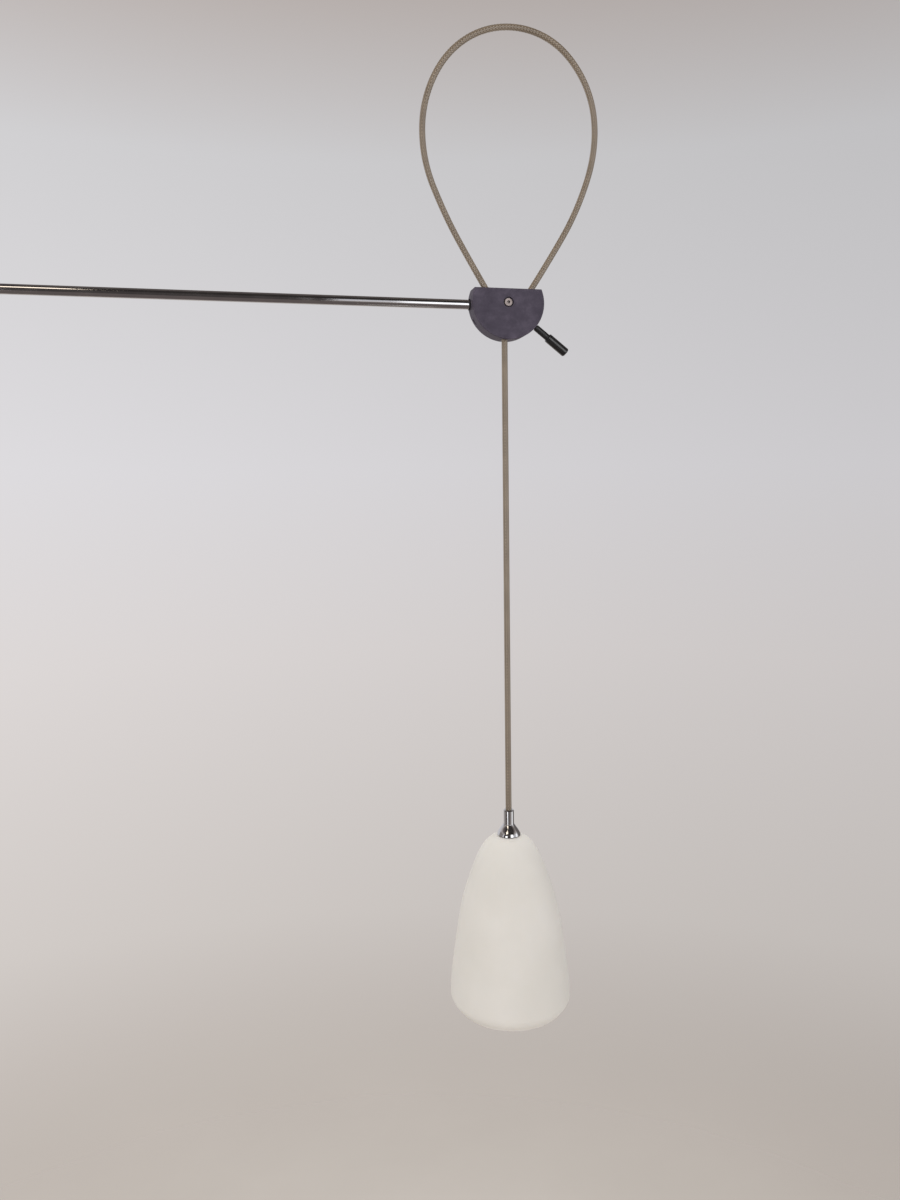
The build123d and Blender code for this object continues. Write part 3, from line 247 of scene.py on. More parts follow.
# Each card's middle, half sides, turn about the vertical in degrees, colour and strength.
CARDS = (
    ("dark_flag_left", (-2.2, -2.6, -0.5), (2.85, 0.0, 2.2), 0, "#474240", 1.0),
    ("dark_flag_low", (-1.6, -0.8, -2.0), (2.8, 1.8, 0.0), 0, "#665d5a", 1.0),
    ("dark_flag_above", (0.3, -1.4, 1.15), (2.2, 0.8, 0.65), 0, "#34302e", 1.0),
    ("dark_flag_below_window", (1.4, -2.3, -1.75), (0.75, 0.0, 0.5), 0, "#857d79", 1.0),
    ("grey_flag_far_left", (-2.2, 0.6, -1.0), (1.2, 0.0, 1.5), 90, "#8f8985", 1.0),
    ("grey_flag_far_right", (2.8, 1.1, -1.0), (1.2, 0.0, 1.5), 90, "#6a6562", 1.0),
    ("window_card", (1.35, -2.2, -0.35), (0.5, 0.0, 0.8), 0, "#ffffff", 1.6),
    ("window_left", (-1.3, -2.3, -1.2), (0.62, 0.0, 1.1), 0, "#ffffff", 2.2),
    ("window_right", (2.5, -0.75, -1.2), (0.35, 0.0, 1.1), 70, "#ffffff", 1.2),
    ("window_high_left", (-0.59, -1.5, 0.86), (0.43, 0.2, 0.24), 0, "#ffeed8", 2.2),
)
for name, middle, half, turn, colour, strength in CARDS:
    paper = bpy.data.materials.new(name)
    paper.use_nodes = True
    paper.node_tree.nodes.clear()
    shine = add(paper.node_tree, "ShaderNodeEmission", {"Color": linear(colour), "Strength": strength})
    add(paper.node_tree, "ShaderNodeOutputMaterial", {"Surface": shine.outputs["Emission"]})
    across, along, upright = half
    corners = [
        (-across, -along, -upright),
        (across, -along, -upright),
        (across, along, upright),
        (-across, along, upright),
    ]
    card_mesh = bpy.data.meshes.new(name)
    card_mesh.from_pydata(corners, [], [(0, 1, 2, 3)])
    card = new_piece(name, card_mesh, paper)
    card.location = middle
    card.rotation_euler.z = math.radians(turn)
    for kind in ("camera", "diffuse", "transmission", "volume_scatter", "shadow"):
        setattr(card, f"visible_{kind}", False)

# Camera: level, at the height of the hanging cable, a little left of the clamp head and turned towards
# it. Its lens is shifted down, as the picture shows more below the eye line than above it.
PICTURE_H = 1200
FOCAL_PX = 930
EYE_LINE_ABOVE_MIDDLE_PX = 110
EYE_PLACE = (0.3424, -0.9293, -0.5900)
EYE_YAW = -12.0
EYE_ROLL = -0.5
camera = bpy.data.cameras.new("camera")
camera.sensor_width = 36.0
camera.lens = camera.sensor_width * FOCAL_PX / PICTURE_H
camera.shift_y = -EYE_LINE_ABOVE_MIDDLE_PX / PICTURE_H
camera.clip_start = 0.01
eye = bpy.data.objects.new("camera", camera)
eye.matrix_world = (
    Matrix.Translation(EYE_PLACE)
    @ Matrix.Rotation(math.radians(EYE_YAW), 4, "Z")
    @ Matrix.Rotation(math.radians(90.0), 4, "X")
    @ Matrix.Rotation(math.radians(EYE_ROLL), 4, "Z")
)
scene.collection.objects.link(eye)
scene.camera = eye

# Ceiling plate and steel hardware: pressed and turned steel with a bright zinc coat, screwed to the
# ceiling. The plate carries the turned aluminium housing in which the arm's stem turns.


def finish(material, *slots):
    """Gives a material to every CAD piece that the record puts in these slots."""
    for part in frame["record"]["subparts"]:
        if part["material_slot"] in slots:
            mesh = nodes[part["node"]].data
            mesh.materials.clear()
            mesh.materials.append(material)


# Between the rings of a wave texture of scale 1, in mm.
RING_PITCH = 314.0


def surface(name, colours, patch, gloss, grain, depth, sockets, turned=None, painted_shade_reach=None):
    """A material whose colour wanders over patches of so many mm and its roughness within gloss.

    A grain of so many mm stands depth mm proud, or, on a turned piece, tool rings round the axis at
    turned. The last argument gives the mm within which painted shade darkens corners and sockets.
    """
    material, tree, shader = new_material(name, sockets)
    place = add(tree, "ShaderNodeTexCoord").outputs["Object"]
    wander = add(tree, "ShaderNodeTexNoise", {"Vector": place, "Scale": 1000 / patch, "Detail": 4.0})
    stops = [(NOISE_LOW, colours[0]), (NOISE_HIGH, colours[1])]
    tint = add(tree, "ShaderNodeValToRGB", {"Fac": wander.outputs["Fac"]}, stops=stops)
    tint = tint.outputs["Color"]
    # Painted shade: ambient occlusion within this reach darkens the colour in corners and sockets.
    if painted_shade_reach:
        occlusion = add(
            tree,
            "ShaderNodeAmbientOcclusion",
            {"Distance": painted_shade_reach / 1000},
            only_local=True,
            samples=8,
        )
        painted_shade = add(
            tree,
            "ShaderNodeMapRange",
            {"Value": occlusion.outputs["AO"], "From Min": 0.3, "From Max": 0.75, "To Min": 0.03},
        )
        tint = add(
            tree,
            "ShaderNodeMix",
            {0: 1.0, 6: tint, 7: painted_shade.outputs["Result"]},
            data_type="RGBA",
            blend_type="MULTIPLY",
        ).outputs[2]
    tree.links.new(tint, shader.inputs["Base Color"])
    smear = patch / 2.7
    smudge = add(tree, "ShaderNodeTexNoise", {"Vector": place, "Scale": 1000 / smear, "Detail": 2.0})
    rough = add(
        tree,
        "ShaderNodeMapRange",
        {
            "Value": smudge.outputs["Fac"],
            "From Min": NOISE_LOW,
            "From Max": NOISE_HIGH,
            "To Min": gloss[0],
            "To Max": gloss[1],
        },
    )
    tree.links.new(rough.outputs["Result"], shader.inputs["Roughness"])
    if turned:
        to_axis = (-turned[0], -turned[1], 0.0)
        centred = add(tree, "ShaderNodeMapping", {"Vector": place, "Location": to_axis})
        relief = add(
            tree,
            "ShaderNodeTexWave",
            {"Vector": centred.outputs["Vector"], "Scale": RING_PITCH / grain, "Distortion": 0.6},
            wave_type="RINGS",
            rings_direction="Z",
        )
    else:
        relief = add(tree, "ShaderNodeTexNoise", {"Vector": place, "Scale": 1000 / grain, "Detail": 2.0})
    bump = add(tree, "ShaderNodeBump", {"Height": relief.outputs["Fac"], "Distance": depth / 1000})
    tree.links.new(bump.outputs["Normal"], shader.inputs["Normal"])
    return material


# Zinc plating: cool bright grey whose crystals show as faint patches, with painted shade down in a
# screw's recess.
zinc = surface(
    "zinc_plated_steel",
    ("#a9acb0", "#c6c8ca"),
    patch=6.0,
    gloss=(0.28, 0.46),
    grain=0.8,
    depth=0.01,
    sockets={"Metallic": 1.0},
    painted_shade_reach=1.5,
)
finish(zinc, "zinc_steel")
# Turned aluminium: soft grey metal with fine tool rings round the swivel's axis, which are drawn
# 0.5 mm apart to show.
SWIVEL_AXIS = (0.0, 0.0)
aluminium = surface(
    "turned_aluminium",
    ("#b4b5b7", "#c9cacc"),
    patch=14.0,
    gloss=(0.3, 0.42),
    grain=0.5,
    depth=0.012,
    sockets={"Metallic": 1.0},
    turned=SWIVEL_AXIS,
)
finish(aluminium, "cast_aluminium")

# Swivel bearing: two turned bronze bushes, pressed into the housing, and a white nylon washer that
# carries the stem's collar.
# Sintered bronze: brown-gold, mottled by its oil pores, with fine tool rings.
bronze = surface(
    "sintered_bronze",
    ("#8a6a3c", "#a9854e"),
    patch=1.5,
    gloss=(0.3, 0.45),
    grain=0.4,
    depth=0.01,
    sockets={"Metallic": 1.0},
    turned=SWIVEL_AXIS,
)
finish(bronze, "bearing_bronze")
# Natural nylon: waxy off-white that light enters a little.
nylon = surface(
    "natural_nylon",
    ("#e2ddce", "#ebe7da"),
    patch=5.0,
    gloss=(0.38, 0.5),
    grain=0.6,
    depth=0.008,
    sockets={
        "Subsurface Weight": 0.2,
        "Subsurface Radius": (0.002, 0.0018, 0.0014),
        "Subsurface Scale": 1.0,
    },
)
finish(nylon, "nylon")

# Terminal block: moulded white polyamide with brass clamp screws; the mains wires come to it under
# the canopy.
# Moulded polyamide: even white with a faint eggshell texture from the tool.
polyamide = surface(
    "moulded_polyamide",
    ("#dedcd4", "#e8e6df"),
    patch=8.0,
    gloss=(0.45, 0.58),
    grain=0.5,
    depth=0.015,
    sockets={
        "Subsurface Weight": 0.1,
        "Subsurface Radius": (0.0015, 0.0013, 0.001),
        "Subsurface Scale": 1.0,
    },
)
finish(polyamide, "white_plastic")
# Bright brass: warm yellow metal, with painted shade darkening screw slots and the shell's corners.
brass = surface(
    "bright_brass",
    ("#b58d3f", "#cfa95a"),
    patch=4.0,
    gloss=(0.2, 0.36),
    grain=0.5,
    depth=0.006,
    sockets={"Metallic": 1.0},
    painted_shade_reach=1.2,
)
finish(brass, "brass")
# PVC wire insulation: glossy brown with slightly duller handling marks.
insulation = surface(
    "pvc_wire_insulation",
    ("#4a2c1a", "#5c3823"),
    patch=7.0,
    gloss=(0.25, 0.4),
    grain=0.7,
    depth=0.006,
    sockets={"Specular IOR Level": 0.5},
)
finish(insulation, "wire_insulation")

# Canopy, elbow and clamp head: aluminium, bead-blasted and anodised a dark plum-grey. The canopy is a
# turned cup that hides the swivel; a ring nut under it holds it up. The elbow and the head are each two
# milled shells, screwed together from behind.
# Blasted anodising: matte dark plum, with faintly cloudy dye, edges paler partly as rubbed metal and
# partly as painted highlight, and a fine grain, which is drawn 0.45 mm wide to show.
DYE_CLOUD = 11.0
EDGE_WEAR_AND_HIGHLIGHT = 0.0006
BLAST_GRAIN = 0.45
anodised, tree, shader = new_material(
    "bead_blasted_plum_anodising",
    {"Metallic": 0.25, "Specular IOR Level": 0.45},
)
place = add(tree, "ShaderNodeTexCoord").outputs["Object"]
cloud = add(
    tree,
    "ShaderNodeTexNoise",
    {"Vector": place, "Scale": 1000 / DYE_CLOUD, "Detail": 5.0, "Roughness": 0.65},
)
dye = add(
    tree,
    "ShaderNodeValToRGB",
    {"Fac": cloud.outputs["Fac"]},
    stops=((0.3, "#433c4c"), (0.52, "#504959"), (0.72, "#605869")),
)
# The edges are mixed paler: partly rubbed metal, partly a painted highlight.
rounded = add(tree, "ShaderNodeBevel", {"Radius": EDGE_WEAR_AND_HIGHLIGHT}, samples=6)
flat = add(tree, "ShaderNodeNewGeometry").outputs["Normal"]
turned_by = add(
    tree,
    "ShaderNodeVectorMath",
    {0: rounded.outputs["Normal"], 1: flat},
    operation="DOT_PRODUCT",
)
edge = add(
    tree,
    "ShaderNodeMapRange",
    {
        "Value": turned_by.outputs["Value"],
        "From Min": 0.995,
        "From Max": 0.9,
        "To Min": 0.0,
        "To Max": 0.55,
    },
)
wear_and_highlight = add(
    tree,
    "ShaderNodeMix",
    {0: edge.outputs["Result"], 6: dye.outputs["Color"], 7: linear("#84798a")},
    data_type="RGBA",
)
tree.links.new(wear_and_highlight.outputs[2], shader.inputs["Base Color"])
grain = add(tree, "ShaderNodeTexNoise", {"Vector": place, "Scale": 1000 / BLAST_GRAIN, "Detail": 1.0})
rough = add(
    tree,
    "ShaderNodeMapRange",
    {
        "Value": cloud.outputs["Fac"],
        "From Min": NOISE_LOW,
        "From Max": NOISE_HIGH,
        "To Min": 0.5,
        "To Max": 0.64,
    },
)
tree.links.new(rough.outputs["Result"], shader.inputs["Roughness"])
bump = add(
    tree,
    "ShaderNodeBump",
    {"Height": grain.outputs["Fac"], "Strength": 0.5, "Distance": 0.00006},
)
tree.links.new(bump.outputs["Normal"], shader.inputs["Normal"])
finish(anodised, "anodised_grey")

# Ring nut's grip: straight ridges round the nut under the canopy, so that fingers can turn it.
# They are cut into the nut's own aluminium and anodised with it.
RING_NUT = {"Count": 72, "Radius": 0.0188, "Rib radius": 0.00055, "Rib length": 0.0042, "Corners": 4}
RING_NUT_MIDDLE = (0.0, 0.0, -0.057)

rib_tree = bpy.data.node_groups.new("ribs_round_an_axis", "GeometryNodeTree")
for label, kind in (
    ("Geometry", "NodeSocketGeometry"),
    ("Count", "NodeSocketInt"),
    ("Radius", "NodeSocketFloat"),
    ("Rib radius", "NodeSocketFloat"),
    ("Rib length", "NodeSocketFloat"),
    ("Corners", "NodeSocketInt"),
    ("Middle", "NodeSocketVector"),
    ("Finish", "NodeSocketMaterial"),
):
    rib_tree.interface.new_socket(label, in_out="INPUT", socket_type=kind)
rib_tree.interface.new_socket("Geometry", in_out="OUTPUT", socket_type="NodeSocketGeometry")
given = add(rib_tree, "NodeGroupInput").outputs
circle = add(
    rib_tree,
    "GeometryNodeMeshCircle",
    {"Vertices": given["Count"], "Radius": given["Radius"]},
)
rib = add(
    rib_tree,
    "GeometryNodeMeshCylinder",
    {"Vertices": given["Corners"], "Radius": given["Rib radius"], "Depth": given["Rib length"]},
)
spot = add(rib_tree, "GeometryNodeInputPosition").outputs["Position"]
facing = add(
    rib_tree,
    "FunctionNodeAlignRotationToVector",
    {"Vector": spot},
    axis="X",
    pivot_axis="Z",
)
ribs = add(
    rib_tree,
    "GeometryNodeInstanceOnPoints",
    {
        "Points": circle.outputs["Mesh"],
        "Instance": rib.outputs["Mesh"],
        "Rotation": facing.outputs["Rotation"],
    },
)
ribs = add(rib_tree, "GeometryNodeRealizeInstances", {"Geometry": ribs.outputs["Instances"]})
ribs = add(
    rib_tree,
    "GeometryNodeTransform",
    {"Geometry": ribs.outputs["Geometry"], "Translation": given["Middle"]},
)
ribs = add(
    rib_tree,
    "GeometryNodeSetMaterial",
    {"Geometry": ribs.outputs["Geometry"], "Material": given["Finish"]},
)
add(rib_tree, "NodeGroupOutput", {"Geometry": ribs.outputs["Geometry"]})


def grown(name, tree, start_mesh, sizes, material):
    """A piece that a node tree makes from a mesh, turned into a plain mesh.

    Sizes are the tree's named inputs.
    """
    piece = new_piece(name, start_mesh, material)
    modifier = piece.modifiers.new(name, "NODES")
    modifier.node_group = tree
    for item in tree.interface.items_tree:
        if item.in_out == "INPUT" and item.name in sizes:
            modifier[item.identifier] = sizes[item.name]
    bpy.context.view_layer.update()
    evaluated = piece.evaluated_get(bpy.context.evaluated_depsgraph_get())
    mesh = bpy.data.meshes.new_from_object(evaluated)
    piece.modifiers.clear()
    piece.data = mesh
    return piece


knurl = grown(
    "canopy_ring_knurl",
    rib_tree,
    bpy.data.meshes.new("ring_nut"),
    {"Middle": RING_NUT_MIDDLE, "Finish": anodised, **RING_NUT},
    anodised,
)
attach(knurl, "ceiling")

# Stem and arm: drawn steel tube, polished and chrome plated; the stem hangs in the swivel, and the arm
# is held in the elbow. The cord grip and the cap over the shade are turned brass, plated the same.
# Chrome plate: a mirror, slightly blue, with faint wipe marks and the long ripple of drawn tube.
WIPE_MARK = 22.0
TUBE_RIPPLE = 40.0
chrome, tree, shader = new_material("polished_chrome_plate", {"Metallic": 1.0})
place = add(tree, "ShaderNodeTexCoord").outputs["Object"]
wipe = add(tree, "ShaderNodeTexNoise", {"Vector": place, "Scale": 1000 / WIPE_MARK, "Detail": 4.0})
rough = add(
    tree,
    "ShaderNodeMapRange",
    {
        "Value": wipe.outputs["Fac"],
        "From Min": 0.35,
        "From Max": 0.75,
        "To Min": 0.05,
        "To Max": 0.13,
    },
)
tree.links.new(rough.outputs["Result"], shader.inputs["Roughness"])
plate = add(
    tree,
    "ShaderNodeValToRGB",
    {"Fac": wipe.outputs["Fac"]},
    stops=((NOISE_LOW, "#d3d4d8"), (NOISE_HIGH, "#dfdfe1")),
)
tree.links.new(plate.outputs["Color"], shader.inputs["Base Color"])
ripple = add(tree, "ShaderNodeTexNoise", {"Vector": place, "Scale": 1000 / TUBE_RIPPLE, "Detail": 1.0})
bump = add(
    tree,
    "ShaderNodeBump",
    {"Height": ripple.outputs["Fac"], "Strength": 0.3, "Distance": 0.0003},
)
tree.links.new(bump.outputs["Normal"], shader.inputs["Normal"])
finish(chrome, "chromed_tube", "chromed_brass")

# Screws: the clamp's centre screw has a hexagon socket and is nickel-plated steel, like the cam, the
# cord grip's screw and the bulb's base; the grub and shell screws and the lever's rod are black-oxide
# steel.
# Nickel plate: a warmer, softer mirror than chrome, with painted shade nearly black down in the socket.
nickel = surface(
    "nickel_plated_steel",
    ("#8d827f", "#a39895"),
    patch=5.0,
    gloss=(0.24, 0.38),
    grain=0.6,
    depth=0.006,
    sockets={"Metallic": 1.0},
    painted_shade_reach=3.0,
)
finish(nickel, "nickel_steel")
# Black oxide: a thin dark layer on steel, satin, with the metal just showing through; painted shade
# darkens its corners and sockets.
black_oxide = surface(
    "black_oxide_steel",
    ("#131316", "#1d1d21"),
    patch=5.0,
    gloss=(0.3, 0.44),
    grain=0.6,
    depth=0.01,
    sockets={"Metallic": 0.2, "Specular IOR Level": 0.9},
    painted_shade_reach=1.5,
)
finish(black_oxide, "black_steel")

# Lever grip: a turned steel sleeve on the lever's rod, coated satin black. A finger presses it down to
# free the cable.
# Satin black coating: deep black with a soft long highlight and a few spots that fingers have polished.
grip_coat = surface(
    "satin_black_coating",
    ("#0f0f12", "#18181c"),
    patch=9.0,
    gloss=(0.2, 0.32),
    grain=0.7,
    depth=0.012,
    sockets={"Specular IOR Level": 1.0},
)
finish(grip_coat, "black_grip")

# Seals: moulded rubber rings at the tube's entry and on both sides of the shade's neck. Each is held by
# the pieces that press on it.
# Rubber: dull black with a grey bloom.
rubber = surface(
    "moulded_rubber",
    ("#161616", "#232322"),
    patch=4.0,
    gloss=(0.6, 0.78),
    grain=0.5,
    depth=0.015,
    sockets={"Specular IOR Level": 0.35},
)
finish(rubber, "black_rubber")

# Cable: round flex in a braided jacket of bronze rayon, 16 strands laid in two directions. It comes up
# out of the clamp head on the right, stands over it in a free loop, goes back in on the left, and hangs
# from the head's underside down to the shade. The braid is drawn as coarse as it needs to show.
CABLE_D = 0.0063
BRAID = {
    "Strands each way": 8,
    "Lay length": 0.026,
    "Relief": 0.00018,
    "Step along": 0.00055,
    "Corners": 48,
}
HEAD = Vector((0.600, 0.0, -0.3985))
# The routes are in mm from the head's middle. The cable goes through the head in two layers, and
# FRONT_Y is the front one.
FRONT_Y = -7.1
DROP_X = -3.0
LOOP_ROUTE = (
    (26.5, 0.0, 14.1),
    (46.0, 0.0, 44.0),
    (75.0, -11.0, 96.0),
    (92.0, -23.0, 155.0),
    (85.0, -34.0, 208.0),
    (53.0, -42.0, 250.0),
    (11.0, -45.0, 267.0),
    (-35.0, -45.0, 261.0),
    (-72.0, -40.0, 233.0),
    (-92.0, -31.0, 187.0),
    (-89.0, -21.0, 135.0),
    (-66.0, -12.0, 87.0),
    (-44.0, FRONT_Y, 50.0),
    (-22.6, FRONT_Y, 14.1),
)
DROP_ROUTE = (
    (DROP_X, FRONT_Y, -38.0),
    (DROP_X, FRONT_Y, -160.0),
    (DROP_X, FRONT_Y, -400.0),
    (DROP_X, FRONT_Y, -520.0),
)


def route_line(name, route):
    """The route's smooth line as a mesh of points and edges, in metres."""
    line = bpy.data.curves.new(name, "CURVE")
    line.dimensions = "3D"
    line.resolution_u = 24
    spline = line.splines.new("NURBS")
    spline.points.add(len(route) - 1)
    for point, place in zip(spline.points, route):
        point.co = (*(HEAD + Vector(place) / 1000), 1.0)
    spline.order_u = 3
    spline.use_endpoint_u = True
    holder = bpy.data.objects.new(name, line)
    scene.collection.objects.link(holder)
    bpy.context.view_layer.update()
    evaluated = holder.evaluated_get(bpy.context.evaluated_depsgraph_get())
    mesh = bpy.data.meshes.new_from_object(evaluated)
    bpy.data.objects.remove(holder)
    return mesh


STRAND_ROUNDNESS = 0.6
braid_tree = bpy.data.node_groups.new("braided_jacket", "GeometryNodeTree")
for label, kind in (
    ("Geometry", "NodeSocketGeometry"),
    ("Diameter", "NodeSocketFloat"),
    ("Strands each way", "NodeSocketInt"),
    ("Lay length", "NodeSocketFloat"),
    ("Relief", "NodeSocketFloat"),
    ("Step along", "NodeSocketFloat"),
    ("Corners", "NodeSocketInt"),
    ("Jacket", "NodeSocketMaterial"),
):
    braid_tree.interface.new_socket(label, in_out="INPUT", socket_type=kind)
braid_tree.interface.new_socket("Geometry", in_out="OUTPUT", socket_type="NodeSocketGeometry")
given = add(braid_tree, "NodeGroupInput").outputs
line = add(braid_tree, "GeometryNodeMeshToCurve", {"Mesh": given["Geometry"]})
line = add(
    braid_tree,
    "GeometryNodeResampleCurve",
    {"Curve": line.outputs["Curve"], "Length": given["Step along"]},
    mode="LENGTH",
)
place = add(braid_tree, "GeometryNodeSplineParameter")
line = add(braid_tree, "GeometryNodeCaptureAttribute", {"Geometry": line.outputs["Curve"]})
line.capture_items.new("FLOAT", "Along")
braid_tree.links.new(place.outputs["Length"], line.inputs["Along"])
radius = add(braid_tree, "ShaderNodeMath", {0: given["Diameter"], 1: 0.5}, operation="MULTIPLY")
core = add(
    braid_tree,
    "ShaderNodeMath",
    {0: radius.outputs[0], 1: given["Relief"]},
    operation="SUBTRACT",
)
ring = add(
    braid_tree,
    "GeometryNodeCurvePrimitiveCircle",
    {"Resolution": given["Corners"], "Radius": core.outputs[0]},
)
ring = add(braid_tree, "GeometryNodeCaptureAttribute", {"Geometry": ring.outputs["Curve"]})
ring.capture_items.new("FLOAT", "Around")
braid_tree.links.new(place.outputs["Factor"], ring.inputs["Around"])
tube = add(
    braid_tree,
    "GeometryNodeCurveToMesh",
    {
        "Curve": line.outputs["Geometry"],
        "Profile Curve": ring.outputs["Geometry"],
        "Fill Caps": True,
    },
)
turn = add(
    braid_tree,
    "ShaderNodeMath",
    {0: ring.outputs["Around"], 1: given["Strands each way"]},
    operation="MULTIPLY",
)
lay = add(
    braid_tree,
    "ShaderNodeMath",
    {0: line.outputs["Along"], 1: given["Lay length"]},
    operation="DIVIDE",
)
lay = add(
    braid_tree,
    "ShaderNodeMath",
    {0: lay.outputs[0], 1: given["Strands each way"]},
    operation="MULTIPLY",
)
waves = []
for way in ("ADD", "SUBTRACT"):
    phase = add(braid_tree, "ShaderNodeMath", {0: turn.outputs[0], 1: lay.outputs[0]}, operation=way)
    phase = add(braid_tree, "ShaderNodeMath", {0: phase.outputs[0], 1: math.pi}, operation="MULTIPLY")
    waves.append(add(braid_tree, "ShaderNodeMath", {0: phase.outputs[0]}, operation="SINE"))
swell = add(
    braid_tree,
    "ShaderNodeMath",
    {0: waves[0].outputs[0], 1: waves[1].outputs[0]},
    operation="MULTIPLY",
)
swell = add(braid_tree, "ShaderNodeMath", {0: swell.outputs[0]}, operation="ABSOLUTE")
swell = add(
    braid_tree,
    "ShaderNodeMath",
    {0: swell.outputs[0], 1: STRAND_ROUNDNESS},
    operation="POWER",
)
lift = add(
    braid_tree,
    "ShaderNodeMath",
    {0: swell.outputs[0], 1: given["Relief"]},
    operation="MULTIPLY",
)
outward = add(
    braid_tree,
    "ShaderNodeVectorMath",
    {0: add(braid_tree, "GeometryNodeInputNormal").outputs["Normal"], "Scale": lift.outputs[0]},
    operation="SCALE",
)
tube = add(
    braid_tree,
    "GeometryNodeSetPosition",
    {"Geometry": tube.outputs["Mesh"], "Offset": outward.outputs[0]},
)
# The last faces round the ring run from nearly 1 back to 0; their corners at 0 are taken as 1.
SEAM_JUMP = 0.3
mean = add(
    braid_tree,
    "GeometryNodeFieldOnDomain",
    {"Value": ring.outputs["Around"]},
    domain="FACE",
    data_type="FLOAT",
)
behind = add(
    braid_tree,
    "ShaderNodeMath",
    {0: mean.outputs[0], 1: ring.outputs["Around"]},
    operation="SUBTRACT",
)
wrap = add(
    braid_tree,
    "ShaderNodeMath",
    {0: behind.outputs[0], 1: SEAM_JUMP},
    operation="GREATER_THAN",
)
around = add(
    braid_tree,
    "ShaderNodeMath",
    {0: ring.outputs["Around"], 1: wrap.outputs[0]},
    operation="ADD",
)
chart = add(
    braid_tree,
    "ShaderNodeCombineXYZ",
    {"X": around.outputs[0], "Y": line.outputs["Along"]},
)
tube = add(
    braid_tree,
    "GeometryNodeStoreNamedAttribute",
    {"Geometry": tube.outputs["Geometry"], "Name": "jacket", "Value": chart.outputs["Vector"]},
    data_type="FLOAT2",
    domain="CORNER",
)
tube = add(braid_tree, "GeometryNodeSetShadeSmooth", {"Geometry": tube.outputs["Geometry"]})
tube = add(braid_tree, "GeometryNodeRealizeInstances", {"Geometry": tube.outputs["Geometry"]})
tube = add(
    braid_tree,
    "GeometryNodeSetMaterial",
    {"Geometry": tube.outputs["Geometry"], "Material": given["Jacket"]},
)
add(braid_tree, "NodeGroupOutput", {"Geometry": tube.outputs["Geometry"]})

# Rayon braid: bronze threads with a soft silk sheen, a painted sheen that makes the strands crossing
# over paler, and painted shade dark in the grooves between them.
THREADS = 4.0
THREAD_RELIEF = 0.15
WEAR_PATCH = 16.67
# Shares in the thread colour of the painted groove shade, the painted sheen on crossing strands and
# random wear.
GROOVE_SHADE_SHARE, OVER_SHEEN_SHARE, WEAR_SHARE = 0.62, 0.14, 0.28
jacket, tree, shader = new_material(
    "bronze_rayon_braid",
    {
        "Roughness": 0.42,
        "Sheen Weight": 0.08,
        "Sheen Roughness": 0.4,
        "Sheen Tint": linear("#d8c9a8"),
        "Coat Weight": 1.0,
        "Coat Roughness": 0.18,
    },
)
chart = add(tree, "ShaderNodeUVMap", uv_map="jacket").outputs["UV"]
chart = add(tree, "ShaderNodeSeparateXYZ", {"Vector": chart})
turn = add(
    tree,
    "ShaderNodeMath",
    {0: chart.outputs["X"], 1: BRAID["Strands each way"]},
    operation="MULTIPLY",
)
lay = add(
    tree,
    "ShaderNodeMath",
    {0: chart.outputs["Y"], 1: BRAID["Strands each way"] / BRAID["Lay length"]},
    operation="MULTIPLY",
)
phases = [
    add(tree, "ShaderNodeMath", {0: turn.outputs[0], 1: lay.outputs[0]}, operation=way).outputs[0]
    for way in ("ADD", "SUBTRACT")
]
waves = []
for phase in phases:
    phase = add(tree, "ShaderNodeMath", {0: phase, 1: math.pi}, operation="MULTIPLY")
    waves.append(add(tree, "ShaderNodeMath", {0: phase.outputs[0]}, operation="SINE"))
cross = add(
    tree,
    "ShaderNodeMath",
    {0: waves[0].outputs[0], 1: waves[1].outputs[0]},
    operation="MULTIPLY",
)
over = add(tree, "ShaderNodeMath", {0: cross.outputs[0], 1: 0.0}, operation="GREATER_THAN")
threads = []
for phase in phases:
    line = add(tree, "ShaderNodeMath", {0: phase, 1: 2 * math.pi * THREADS}, operation="MULTIPLY")
    threads.append(add(tree, "ShaderNodeMath", {0: line.outputs[0]}, operation="SINE"))
thread = add(
    tree,
    "ShaderNodeMix",
    {0: over.outputs[0], 2: threads[0].outputs[0], 3: threads[1].outputs[0]},
    data_type="FLOAT",
)
# Strand height: it lifts the strands in the bump and darkens the grooves as painted shade in the colour.
relief_and_groove_shade = add(tree, "ShaderNodeMath", {0: cross.outputs[0]}, operation="ABSOLUTE")
relief_and_groove_shade = add(tree, "ShaderNodeMath", {0: relief_and_groove_shade.outputs[0], 1: 0.5}, operation="POWER")
place = add(tree, "ShaderNodeTexCoord").outputs["Object"]
wear = add(tree, "ShaderNodeTexNoise", {"Vector": place, "Scale": 1000 / WEAR_PATCH})
# Painted groove shade, painted sheen and random wear added into one value for the colour ramp.
painted_light_and_wear = add(
    tree,
    "ShaderNodeMath",
    {0: relief_and_groove_shade.outputs[0], 1: GROOVE_SHADE_SHARE},
    operation="MULTIPLY",
)
painted_light_and_wear = add(
    tree,
    "ShaderNodeMath",
    {0: over.outputs[0], 1: OVER_SHEEN_SHARE, 2: painted_light_and_wear.outputs[0]},
    operation="MULTIPLY_ADD",
)
painted_light_and_wear = add(
    tree,
    "ShaderNodeMath",
    {0: wear.outputs["Fac"], 1: WEAR_SHARE, 2: painted_light_and_wear.outputs[0]},
    operation="MULTIPLY_ADD",
)
thread_tint = add(
    tree,
    "ShaderNodeValToRGB",
    {"Fac": painted_light_and_wear.outputs[0]},
    stops=((0.0, "#3c3126"), (0.5, "#7b6c5c"), (1.0, "#b1a08b")),
)
tree.links.new(thread_tint.outputs["Color"], shader.inputs["Base Color"])
weave = add(
    tree,
    "ShaderNodeMath",
    {0: thread.outputs[0], 1: THREAD_RELIEF, 2: relief_and_groove_shade.outputs[0]},
    operation="MULTIPLY_ADD",
)
